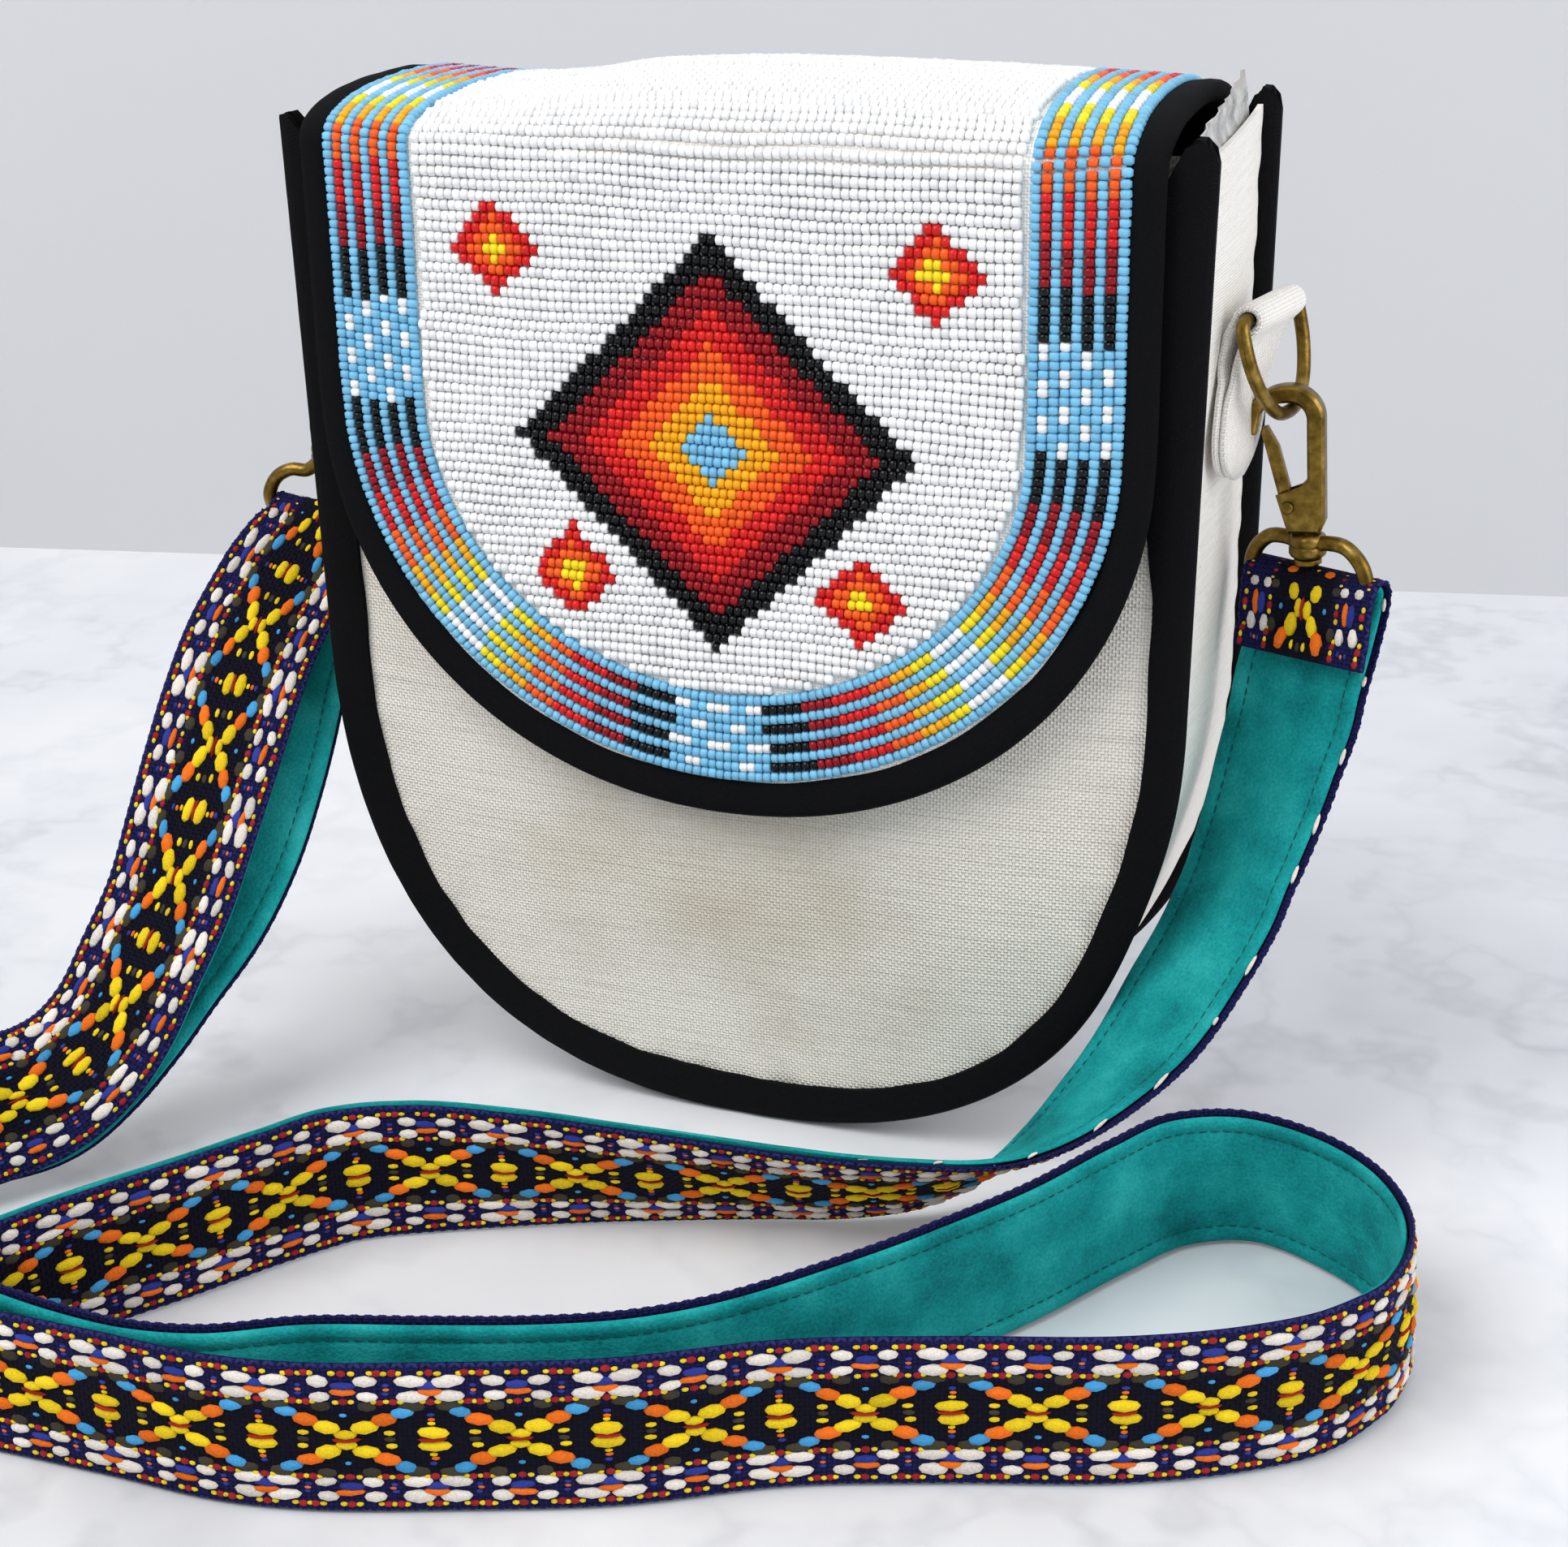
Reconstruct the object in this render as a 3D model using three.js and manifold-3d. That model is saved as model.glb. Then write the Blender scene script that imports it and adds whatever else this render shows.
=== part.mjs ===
// A flap shoulder bag of canvas with bound edges, a beaded flap and a woven strap on two swivel hooks.
// Millimetres, +Z up, +X to the right of the front, the front faces -Y.
// The origin is on the surface that the bag stands on, in the middle of its foot.

import * as THREE from "three";
import { mergeVertices } from "three/addons/utils/BufferGeometryUtils.js";
import Module from "manifold-3d";

// Bag body
const BAG_WIDTH = 234; // over the bindings, at the mouth
const BAG_TAPER = 3; // how much narrower it is where the round bottom begins
const BAG_HEIGHT = 264; // top corners of the bindings
const BAG_DEPTH = 74; // over both bindings
const ROUND_HEIGHT = 130; // height at which the sides turn into the round bottom
const ROUND_POWER = 2.36; // squareness of the round bottom
const FOOT_SINK = 2.5; // what the flat foot takes off the round bottom
const BINDING_WIDTH = 11.5;
const BINDING_THICK = 6.4;
const BINDING_WALL = 1.8; // the tape's own thickness
const BINDING_TOP_DROP = 12; // slope of the binding's top end, lower on the inner side
const PANEL_THICK = 2.4;
const PANEL_DROP = 14; // the panel's top edge below the bindings' top
const PANEL_BULGE = 1.6;
const GUSSET_INSET = 4; // how far the bindings stand proud of the gusset
const GUSSET_THICK = 1.4;
const GUSSET_CROWN = 1.2;
const GUSSET_DROP = 8; // the gusset's top edge below the bindings' top
const FILM_THICK = 0.8; // clear film on the gusset's right top edge
const FILM_RISE = 18; // how far its tip stands above the gusset

// Flap
const FLAP_SIDE_GAP = 7; // from the bag's side to the flap's edge
const FLAP_BOTTOM = 94;
const FLAP_ROUND_HEIGHT = 93; // height of its round lower end
const FLAP_ROUND_POWER = 1.85;
const FLAP_RISE = 9; // its middle surface above the bindings' top
const FLAP_CROWN = 3.5; // how far the ends of the top lie below its middle
const FLAP_BEND_HEIGHT = 16;
const FLAP_BEND_POWER = 3.4;
const FLAP_BACK_LENGTH = 24; // straight part that is sewn to the back
const FLAP_THICK = 2.4;
const FLAP_BINDING_WIDTH = 9.5;
const FLAP_BINDING_THICK = 5;
const FLAP_BINDING_WALL = 1;

// Beadwork
const BEAD_ROW = 2.55; // from one row of beads to the next
const BORDER_ROWS = 9;
const BEAD_HEIGHT = 1.6;
const BEAD_GROOVE = 0.9; // depth of the valley between two rows
const BAND_ROWS = 7; // rows of the white ground from one deep valley to the next
const MOTIF_MARGIN = 12.975; // between the large diamond and the flat field's lower and upper end
const MOTIF_RINGS = 6; // fields of colour in it, one inside another
const MOTIF_SINK = 4.025; // its middle below the middle of the flat field
const CORNER_HALF = 12; // half diagonal of the small diamonds
const CORNER_SIDE = 21.25; // middle of an upper small diamond from the border
const CORNER_DROP = 23; // and from the flap's bend
const CORNER_OFFSET = [12, 9]; // middle of a lower small diamond from the large one's side

// Side tabs, rings and hooks
const SIDE_SHIFT = 3; // tabs lie this far behind the middle of the gusset
const TAB_WIDTH = 27;
const TAB_LAYER = 1.6;
const TAB_DROP = 73; // lowest point of the sewn tongue, from the gusset's top
const TAB_LENGTH = 23; // from there to where the tongue leaves the gusset
const TAB_STAND = 4.98; // between the gusset and the loop round the ring
const TAB_SKEW = 0.16; // the loop's turn out of the bag's depth direction
const RING_RISE = 14.56; // the ring's bar above the end of the tongue
const RING_WIRE = 3.5;
const RING_DROP = 24.5; // from the ring's bar to its lowest point, wire middles
const RING_SIDE_PLAY = 1.2; // between the tab's edge and the ring
const RING_LEAN = 0.26; // outward lean of the hanging ring
const HOOK_TILT = 4; // degrees, lower end outward
const HOOK_DEPTH = 5.2;
const HOOK_ARM = 4.2; // width of the hook's spine and bow
const HOOK_BEVEL = 0.7;
const BOW_RADIUS = 4.2; // inside
const BOW_OFFSET = 3.9; // middle of the bow from the swivel axis
const BOW_CENTRE = 28.1; // height of the bow's middle above the base
const NOSE_REACH = 7.2; // inside of the nose from the bow's middle
const NOSE_WIDTH = 3;
const NOSE_DROP = 3.8; // the nose's end below the bow's middle
const GATE_PIVOT = [-4.5, 6.5];
const GATE_SLOT = 3;
const GATE_THICK = 2.4;
const GATE_ARM = 3.2;
const GATE_TIP = [-9.5, 26.2];
const GATE_TIP_WIDTH = 1.3;
const GATE_TAPER = 5.5; // length of its slender end
const RIVET_RADIUS = 1.1;
const RIVET_HEAD = 1.6;
const SPRING_WIRE = 0.35;
const SPRING_RADIUS = 2;
const SPRING_TURNS = 1.75;
const STEM_RADIUS = 2;
const COLLAR_RADIUS = 4.6;
const COLLAR_HEIGHT = 6.1;
const LOOP_WIRE = 3.8;
const LOOP_HALF = 18; // half of the loop's width, wire middles
const LOOP_BAR_DROP = 18.5; // from the hook's base to the bar that carries the strap
const LOOP_TURN = { right: 21, left: -5 }; // degrees, each loop's turn about its swivel axis

// Strap
const STRAP_WIDTH = 38;
const BAND_THICK = 1.6;
const LINING_THICK = 1.1;
const LINING_WIDTH = 37;
const STRAP_TURN = 0.34; // radians between two sections of the strap, at most
const STRAP_SPAN = 30; // and their distance
const SLIDER_HALF = [22, 17]; // across and along the strap
const SLIDER_BAR = 3.4;
const SLIDER_THICK = 3;
const SLIDER_AT = [-197, -166, 22.8];

const GAP = 0.3; // between pieces that touch
const RUNNING = 0.08; // between a pin and the hole that it turns in
const CUT = 1; // how far a cutting tool reaches past what it cuts
const ROUND_SIDES = 12;
const WIRE_SIDES = 7;

const BAG_WAIST = BAG_WIDTH - BAG_TAPER;
const PANEL_TOP = BAG_HEIGHT - PANEL_DROP;
const GUSSET_TOP = BAG_HEIGHT - GUSSET_DROP;
const FLAP_WIDTH = BAG_WIDTH - 2 * FLAP_SIDE_GAP;
const FLAP_TOP = BAG_HEIGHT + FLAP_RISE;
const TAB_FOOT = GUSSET_TOP - TAB_DROP;
const TAB_BEND = TAB_FOOT + TAB_LENGTH; // where the tongue leaves the gusset

const wasm = await Module();
wasm.setup();

const v3 = (x, y, z) => new THREE.Vector3(x, y, z);
const v2 = (x, y) => new THREE.Vector2(x, y);
const degrees = THREE.MathUtils.degToRad;

// Closed solids

/** An indexed geometry of points and triangles, turned so that its faces point out. */
function solid(points, triangles) {
  let volume = 0;
  for (const [a, b, c] of triangles) {
    volume += points[a].dot(v3().crossVectors(points[b], points[c]));
  }
  const faces = volume < 0 ? triangles.map(([a, b, c]) => [a, c, b]) : triangles;
  const geometry = new THREE.BufferGeometry().setFromPoints(points);
  geometry.setIndex(faces.flat());
  return geometry;
}

/** Joins equal sections, rings of points, in a row; open rows get the section's own faces as ends. */
function loft(sections, outline, closed = false) {
  const size = outline.length;
  const points = sections.flat();
  const triangles = [];
  const spans = closed ? sections.length : sections.length - 1;
  for (let i = 0; i < spans; i += 1) {
    const near = i * size;
    const far = ((i + 1) % sections.length) * size;
    for (let j = 0; j < size; j += 1) {
      const next = (j + 1) % size;
      triangles.push([near + j, near + next, far + j], [near + next, far + next, far + j]);
    }
  }
  if (!closed) {
    const last = (sections.length - 1) * size;
    const ccw = THREE.ShapeUtils.isClockWise(outline) ? -1 : 1;
    for (const [a, b, c] of THREE.ShapeUtils.triangulateShape(outline, [])) {
      triangles.push(ccw > 0 ? [a, c, b] : [a, b, c]);
      triangles.push(ccw > 0 ? [last + a, last + b, last + c] : [last + a, last + c, last + b]);
    }
  }
  return solid(points, triangles);
}

/** Sweeps a flat outline along frames, each with an origin and the outline's two directions. */
function sweep(outline, frames, closed = false) {
  const place = ({ origin, across, out }) =>
    outline.map((p) => origin.clone().addScaledVector(across, p.x).addScaledVector(out, p.y));
  return loft(frames.map(place), outline, closed);
}

const circle = (radius, sides) =>
  Array.from({ length: sides }, (_, i) => {
    const turn = (2 * Math.PI * i) / sides;
    return v2(radius * Math.cos(turn), radius * Math.sin(turn));
  });

/** A round wire along a flat curve whose plane has the given normal. */
function wire(points, normal, diameter, closed) {
  const count = points.length;
  const frames = points.map((origin, i) => {
    const before = points[closed ? (i + count - 1) % count : Math.max(i - 1, 0)];
    const after = points[closed ? (i + 1) % count : Math.min(i + 1, count - 1)];
    const along = after.clone().sub(before).normalize();
    return { origin, across: v3().crossVectors(normal, along), out: normal };
  });
  return sweep(circle(diameter / 2, WIRE_SIDES), frames, closed);
}

function toManifold(geometry) {
  const bare = new THREE.BufferGeometry();
  bare.setAttribute("position", geometry.getAttribute("position").clone());
  if (geometry.index) bare.setIndex(geometry.index.clone());
  const merged = mergeVertices(bare, 1e-4);
  const vertProperties = new Float32Array(merged.getAttribute("position").array);
  const triVerts = new Uint32Array(merged.index.array);
  return new wasm.Manifold(new wasm.Mesh({ numProp: 3, vertProperties, triVerts }));
}

function fromManifold(body) {
  const { vertProperties, triVerts } = body.getMesh();
  const geometry = new THREE.BufferGeometry();
  geometry.setAttribute("position", new THREE.BufferAttribute(vertProperties, 3));
  geometry.setIndex(new THREE.BufferAttribute(triVerts, 1));
  return geometry;
}

const cut = (geometry, ...tools) =>
  fromManifold(tools.reduce((body, tool) => body.subtract(toManifold(tool)), toManifold(geometry)));
const join = (geometry, ...others) =>
  fromManifold(others.reduce((body, other) => body.add(toManifold(other)), toManifold(geometry)));
const common = (geometry, other) =>
  fromManifold(toManifold(geometry).intersect(toManifold(other)));

/** A flat shape drawn in X and Z, made as thick as depth, with its middle at y. */
function plate(shape, depth, y = 0, bevel = 0) {
  const geometry = new THREE.ExtrudeGeometry(shape, {
    depth: depth - 2 * bevel,
    curveSegments: 7,
    bevelEnabled: bevel > 0,
    bevelThickness: bevel,
    bevelSize: bevel,
    bevelOffset: -bevel,
    bevelSegments: 1,
  });
  geometry.rotateX(Math.PI / 2);
  return geometry.translate(0, y + depth / 2 - bevel, 0);
}

/** A cylinder along Y through a point of the XZ plane. */
function peg(radius, from, to, [x, z]) {
  const geometry = new THREE.CylinderGeometry(radius, radius, to - from, ROUND_SIDES);
  return geometry.translate(x, (from + to) / 2, z);
}

// Outlines

/** Inward directions of an outline that keeps its inside on its left. */
function inwardNormals(outline) {
  return outline.map((_, i) => {
    const before = outline[Math.max(i - 1, 0)];
    const after = outline[Math.min(i + 1, outline.length - 1)];
    const along = after.clone().sub(before).normalize();
    return v2(-along.y, along.x);
  });
}

function inset(outline, distance) {
  const normals = inwardNormals(outline);
  return outline.map((p, i) => p.clone().addScaledVector(normals[i], distance));
}

/** The quarter of a superellipse from its side to its lowest point. */
function roundCorner(half, height, power, steps) {
  return Array.from({ length: steps + 1 }, (_, i) => {
    const turn = (Math.PI / 2) * (i / steps);
    return v2(half * Math.cos(turn) ** (2 / power), -height * Math.sin(turn) ** (2 / power));
  });
}

/** A U from the upper left end round the bottom to the upper right end, given its right half downward. */
function mirrorHalf(half) {
  const left = half.map((p) => v2(-p.x, p.y));
  return [...left, ...half.slice(0, -1).reverse()];
}

function bagOutline(top) {
  const sideSteps = 4;
  const side = Array.from({ length: sideSteps }, (_, i) => {
    const z = THREE.MathUtils.lerp(top, ROUND_HEIGHT, i / sideSteps);
    const share = (z - ROUND_HEIGHT) / (BAG_HEIGHT - ROUND_HEIGHT);
    return v2(THREE.MathUtils.lerp(BAG_WAIST, BAG_WIDTH, share) / 2, z);
  });
  const corner = roundCorner(BAG_WAIST / 2, ROUND_HEIGHT + FOOT_SINK, ROUND_POWER, 14);
  const bottom = corner.map((p) => v2(p.x, Math.max(p.y + ROUND_HEIGHT, 0)));
  return mirrorHalf([...side, ...bottom]);
}

// Bag body

/** A folded tape: a channel that is open on its inner side, from edge 0 inward. */
function bindingSection(width, thick, wall) {
  const half = thick / 2;
  const round = half * 0.55;
  return [
    v2(width, -half),
    v2(round, -half),
    v2(0, -half + round),
    v2(0, half - round),
    v2(round, half),
    v2(width, half),
    v2(width, half - wall),
    v2(wall, half - wall),
    v2(wall, -half + wall),
    v2(width, -half + wall),
  ];
}

/** The binding of one panel; side is -1 at the front and 1 at the back. */
function panelBinding(side) {
  const outline = bagOutline(BAG_HEIGHT);
  const normals = inwardNormals(outline);
  const section = bindingSection(BINDING_WIDTH, BINDING_THICK, BINDING_WALL);
  const middle = (side * (BAG_DEPTH - BINDING_THICK)) / 2;
  const last = outline.length - 1;
  const sections = outline.map((p, i) => {
    const slope = i === 0 || i === last ? BINDING_TOP_DROP / BINDING_WIDTH : 0;
    return section.map((q) =>
      v3(p.x + normals[i].x * q.x, middle + q.y, p.y + normals[i].y * q.x - slope * q.x),
    );
  });
  return loft(sections, section);
}

/** One canvas panel, crowned outward, with its edge inside the binding. */
function panel(side) {
  const edge = inset(bagOutline(PANEL_TOP), BINDING_WALL + GAP);
  const middle = (side * (BAG_DEPTH - BINDING_THICK)) / 2;
  const shares = [1, 0.8, 0.4];
  const centre = v2(0, (PANEL_TOP + BINDING_WALL) / 2);
  const outer = PANEL_THICK / 2;
  const rim = BINDING_WIDTH / (BAG_WIDTH / 2);
  const crown = (share) => {
    const inside = Math.max(0, 1 - rim - share) / (1 - rim);
    return PANEL_BULGE * Math.sin((inside * Math.PI) / 2);
  };
  const points = [];
  const triangles = [];
  const size = edge.length;
  for (const face of [outer, -outer]) {
    for (const share of shares) {
      for (const p of edge) {
        const q = p.clone().sub(centre).multiplyScalar(share).add(centre);
        points.push(v3(q.x, middle + side * (face + crown(share)), q.y));
      }
    }
    points.push(v3(centre.x, middle + side * (face + PANEL_BULGE), centre.y));
  }
  const layer = shares.length * size + 1;
  const link = (a, b, c, d) => triangles.push([a, b, c], [b, d, c]);
  for (let i = 0; i < size; i += 1) {
    const j = (i + 1) % size;
    for (let ring = 0; ring + 1 < shares.length; ring += 1) {
      const at = ring * size;
      link(at + i, at + j, at + size + i, at + size + j);
      link(layer + at + j, layer + at + i, layer + at + size + j, layer + at + size + i);
    }
    const inner = (shares.length - 1) * size;
    triangles.push([inner + i, inner + j, layer - 1]);
    triangles.push([layer + inner + j, layer + inner + i, 2 * layer - 1]);
    link(j, i, layer + j, layer + i);
  }
  return solid(points, triangles);
}

/** The strip between the panels, down one side, under the foot and up the other side. */
function gusset() {
  const outline = inset(bagOutline(GUSSET_TOP), GUSSET_INSET);
  const normals = inwardNormals(outline);
  const half = BAG_DEPTH / 2 - BINDING_THICK - GAP;
  const section = [
    v2(0, -half),
    v2(-GUSSET_CROWN, 0),
    v2(0, half),
    v2(GUSSET_THICK, half),
    v2(GUSSET_THICK - GUSSET_CROWN, 0),
    v2(GUSSET_THICK, -half),
  ];
  const frames = outline.map((p, i) => ({
    origin: v3(p.x, 0, p.y),
    across: v3(normals[i].x, 0, normals[i].y),
    out: v3(0, 1, 0),
  }));
  return sweep(section, frames);
}

/** The torn end of clear film that stands on the gusset's right top edge. */
function filmTab() {
  const half = BAG_DEPTH / 2 - BINDING_THICK - GAP;
  const base = GUSSET_TOP + GAP;
  const shape = new THREE.Shape([
    v2(-half, base),
    v2(half * 0.8, base),
    v2(half * 0.75, base + FILM_RISE * 0.5),
    v2(half * 0.62, base + FILM_RISE * 0.88),
    v2(half * 0.28, base + FILM_RISE),
    v2(-half * 0.1, base + FILM_RISE * 0.45),
    v2(-half * 0.6, base + FILM_RISE * 0.3),
    v2(-half, base + FILM_RISE * 0.22),
  ]);
  const sheet = new THREE.ExtrudeGeometry(shape, { depth: FILM_THICK, bevelEnabled: false });
  sheet.rotateX(Math.PI / 2).rotateZ(Math.PI / 2);
  return sheet.translate(BAG_WIDTH / 2 - GUSSET_INSET - FILM_THICK, 0, 0);
}

// Flap

const FLAP_STAND = BAG_DEPTH / 2 + GAP + FLAP_BINDING_THICK / 2; // its middle surface, from the bag's middle
const FLAP_BEND_START = FLAP_TOP - FLAP_BEND_HEIGHT - FLAP_BOTTOM; // along the flap, from its lowest point
const BEND_SAMPLES = 240;

/** Points of the bend over the mouth, from front to back, with the way along it. */
const bendTable = (() => {
  const rows = [];
  let way = 0;
  for (let i = 0; i <= BEND_SAMPLES; i += 1) {
    const turn = (Math.PI * i) / BEND_SAMPLES;
    const cos = Math.cos(turn);
    const y = -Math.sign(cos) * Math.abs(cos) ** (2 / FLAP_BEND_POWER) * FLAP_STAND;
    const rise = Math.sin(turn) ** (2 / FLAP_BEND_POWER);
    const last = rows.at(-1);
    if (last) way += Math.hypot(y - last.y, (rise - last.rise) * FLAP_BEND_HEIGHT);
    rows.push({ way, y, rise });
  }
  return rows;
})();
const BEND_LENGTH = bendTable.at(-1).way;
const FLAP_LENGTH = FLAP_BEND_START + BEND_LENGTH + FLAP_BACK_LENGTH;

/** A point of the flap's middle surface: x across, along from its lowest point over the top to the back. */
function flapMiddle(x, along) {
  const bendZ = FLAP_BOTTOM + FLAP_BEND_START;
  if (along <= FLAP_BEND_START) return v3(x, -FLAP_STAND, FLAP_BOTTOM + along);
  const way = along - FLAP_BEND_START;
  if (way >= BEND_LENGTH) return v3(x, FLAP_STAND, bendZ - (way - BEND_LENGTH));
  const i = bendTable.findIndex((row) => row.way >= way);
  const [a, b] = [bendTable[Math.max(i - 1, 0)], bendTable[i]];
  const share = b.way > a.way ? (way - a.way) / (b.way - a.way) : 0;
  const rise = THREE.MathUtils.lerp(a.rise, b.rise, share);
  const height = FLAP_BEND_HEIGHT - FLAP_CROWN * (x / (FLAP_WIDTH / 2)) ** 2;
  return v3(x, THREE.MathUtils.lerp(a.y, b.y, share), bendZ + rise * height);
}

/** The flap's outward direction there. */
function flapNormal(x, along) {
  const step = 0.5;
  const way = flapMiddle(x, along + step).sub(flapMiddle(x, along - step));
  return v3().crossVectors(v3(1, 0, 0), way).normalize();
}

const flapPoint = (x, along, out) =>
  flapMiddle(x, along).addScaledVector(flapNormal(x, along), out);

/** Ways along the flap at which its pieces have a section: straight front, bend and back. */
function flapWays() {
  const bend = [0, 0.1, 0.17, 0.26, 0.42, 0.58, 0.74, 0.83, 0.9, 1];
  return [
    FLAP_ROUND_HEIGHT * 1.35,
    ...bend.map((share) => FLAP_BEND_START + share * BEND_LENGTH),
    FLAP_LENGTH,
  ];
}

/** The flap's edge in the flat: x across, y along the flap. */
function flapOutline() {
  const half = FLAP_WIDTH / 2;
  const straight = flapWays().reverse().map((along) => v2(half, along));
  const corner = roundCorner(half, FLAP_ROUND_HEIGHT, FLAP_ROUND_POWER, 12);
  return mirrorHalf([...straight, ...corner.map((p) => v2(p.x, p.y + FLAP_ROUND_HEIGHT))]);
}

/** Frames along the flap's edge: across runs inward on the flap, out stands on it. */
function flapEdge(place) {
  const outline = flapOutline();
  const normals = inwardNormals(outline);
  return outline.map((p, i) => place(p, normals[i]));
}

/** Sweeps a section of the flap's edge: x inward from the edge, y out from the middle surface. */
function flapTrim(section) {
  const sections = flapEdge((p, inward) =>
    section.map((q) => {
      const along = Math.min(p.y + inward.y * q.x, FLAP_LENGTH);
      return flapPoint(p.x + inward.x * q.x, along, q.y);
    }),
  );
  return loft(sections, section);
}

/** Where a layer inside the flap's edge has sections, from the back down: half its width, way along. */
function flapRows(margin) {
  const edge = inset(flapOutline(), margin).filter((p) => p.x > FLAP_WIDTH * 0.04);
  return edge.map((p) => ({ half: p.x, along: Math.min(p.y, FLAP_LENGTH) }));
}

/** A layer of the flap through such rows, with its outer side lower by a row's own depth. */
function flapLayer(rows, low, high, columns) {
  const across = Array.from({ length: columns + 1 }, (_, i) => (2 * i) / columns - 1);
  const upper = across.map((x) => v2(x, high));
  const lower = across.toReversed().map((x) => v2(x, low));
  const sections = rows.map(({ half, along, depth = 0 }) => [
    ...upper.map((q) => flapPoint(q.x * half, along, q.y - depth)),
    ...lower.map((q) => flapPoint(q.x * half, along, q.y)),
  ]);
  return loft(sections, [...upper, ...lower]);
}

// Beadwork

const BEAD_SEAT = FLAP_THICK / 2 + GAP;
const BORDER_START = FLAP_BINDING_WIDTH + GAP;
const BORDER_WIDTH = BORDER_ROWS * BEAD_ROW;

/** The border: one ridge for each row of beads, side by side round the flap's edge. */
function beadBorder() {
  const section = [v2(BORDER_START, BEAD_SEAT)];
  for (let row = 0; row < BORDER_ROWS; row += 1) {
    const start = BORDER_START + row * BEAD_ROW;
    section.push(v2(start, BEAD_SEAT + BEAD_HEIGHT - BEAD_GROOVE));
    section.push(v2(start + BEAD_ROW / 2, BEAD_SEAT + BEAD_HEIGHT));
  }
  section.push(v2(BORDER_START + BORDER_WIDTH, BEAD_SEAT + BEAD_HEIGHT - BEAD_GROOVE));
  section.push(v2(BORDER_START + BORDER_WIDTH, BEAD_SEAT));
  return flapTrim(section);
}

/** A diamond about a point, grown by a margin. */
function diamond([x, z], half, margin = 0) {
  const reach = half + margin * Math.SQRT2;
  return [v2(x + reach, z), v2(x, z + reach), v2(x - reach, z), v2(x, z - reach)];
}

/** A field of beads in the flat front of the flap, with an optional field inside it. */
function beadField(centre, half, innerHalf = null) {
  const shape = new THREE.Shape(diamond(centre, half));
  if (innerHalf !== null) shape.holes.push(new THREE.Path(diamond(centre, innerHalf, GAP)));
  return plate(shape, BEAD_HEIGHT, -(FLAP_STAND + BEAD_SEAT + BEAD_HEIGHT / 2));
}

const FIELD_MARGIN = BORDER_START + BORDER_WIDTH + GAP;
const FIELD_LOW = FLAP_BOTTOM + FIELD_MARGIN;
const FIELD_HIGH = FLAP_BOTTOM + FLAP_BEND_START;
const MOTIF_HALF = (FIELD_HIGH - FIELD_LOW) / 2 - MOTIF_MARGIN; // half diagonal of the large diamond
const MOTIF_CENTRE = [0, (FIELD_HIGH + FIELD_LOW) / 2 - MOTIF_SINK];
const CORNER_UPPER = [FLAP_WIDTH / 2 - BORDER_START - BORDER_WIDTH - CORNER_SIDE, FIELD_HIGH - CORNER_DROP];
const CORNER_LOWER = [
  MOTIF_HALF / 2 + CORNER_OFFSET[0],
  MOTIF_CENTRE[1] - MOTIF_HALF / 2 - CORNER_OFFSET[1],
];
const CORNERS = [CORNER_UPPER, CORNER_LOWER].flatMap(([x, z]) => [
  [x, z],
  [-x, z],
]);

/** The ground's sections, with more of them for a valley after each band of bead rows. */
function groundRows() {
  const rows = flapRows(FIELD_MARGIN);
  const [upper, lower] = [rows[0].along, rows.at(-1).along];
  const step = BAND_ROWS * BEAD_ROW;
  const valleys = [];
  for (let at = lower + step; at < upper - BEAD_ROW; at += step) valleys.push(at);
  const depth = (along) =>
    BEAD_GROOVE * Math.max(0, ...valleys.map((at) => 1 - (2 * Math.abs(along - at)) / BEAD_ROW));
  const half = (along) => {
    const i = Math.max(rows.findIndex((row) => row.along <= along), 1);
    const [a, b] = [rows[i - 1], rows[i]];
    return THREE.MathUtils.mapLinear(along, a.along, b.along, a.half, b.half);
  };
  const sides = valleys.flatMap((at) => [at - BEAD_ROW / 2, at, at + BEAD_ROW / 2]);
  const added = sides.map((along) => ({ half: half(along), along }));
  const kept = rows.filter((row) => sides.every((along) => Math.abs(row.along - along) > GAP));
  return [...kept, ...added]
    .sort((a, b) => b.along - a.along)
    .map((row) => ({ ...row, depth: depth(row.along) }));
}

/** The white ground inside the border, open where the coloured fields lie. */
function beadGround() {
  const ground = flapLayer(groundRows(), BEAD_SEAT, BEAD_SEAT + BEAD_HEIGHT, 3);
  const window = (centre, half) => {
    const shape = new THREE.Shape(diamond(centre, half, GAP));
    return plate(shape, BEAD_HEIGHT + 2 * CUT, -(FLAP_STAND + BEAD_SEAT + BEAD_HEIGHT / 2));
  };
  const windows = CORNERS.map((centre) => window(centre, CORNER_HALF));
  return cut(ground, window(MOTIF_CENTRE, MOTIF_HALF), ...windows);
}

// Side tabs and rings, drawn with X away from the bag

const TILT = degrees(HOOK_TILT);
const BOW_TOP = BOW_CENTRE + BOW_RADIUS; // inside of the bow, above the hook's base

const TAB_BACK = BAG_WIDTH / 2 - GUSSET_INSET + GUSSET_CROWN + GAP;
const TAB_LOOP = RING_WIRE / 2 + GAP + TAB_LAYER; // outside of the loop round the ring's bar
const RING_UP = v2(-RING_LEAN, Math.sqrt(1 - RING_LEAN ** 2));
const RING_BAR = v2(TAB_BACK + TAB_LOOP + TAB_STAND, TAB_BEND + RING_RISE);
const RING_LOW = RING_BAR.clone().addScaledVector(RING_UP, -RING_DROP);

/** A way in the hook's plane, turned as the hook hangs. */
const hookTurn = (x, up) =>
  v2(x * Math.cos(TILT) - up * Math.sin(TILT), x * Math.sin(TILT) + up * Math.cos(TILT));

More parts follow.
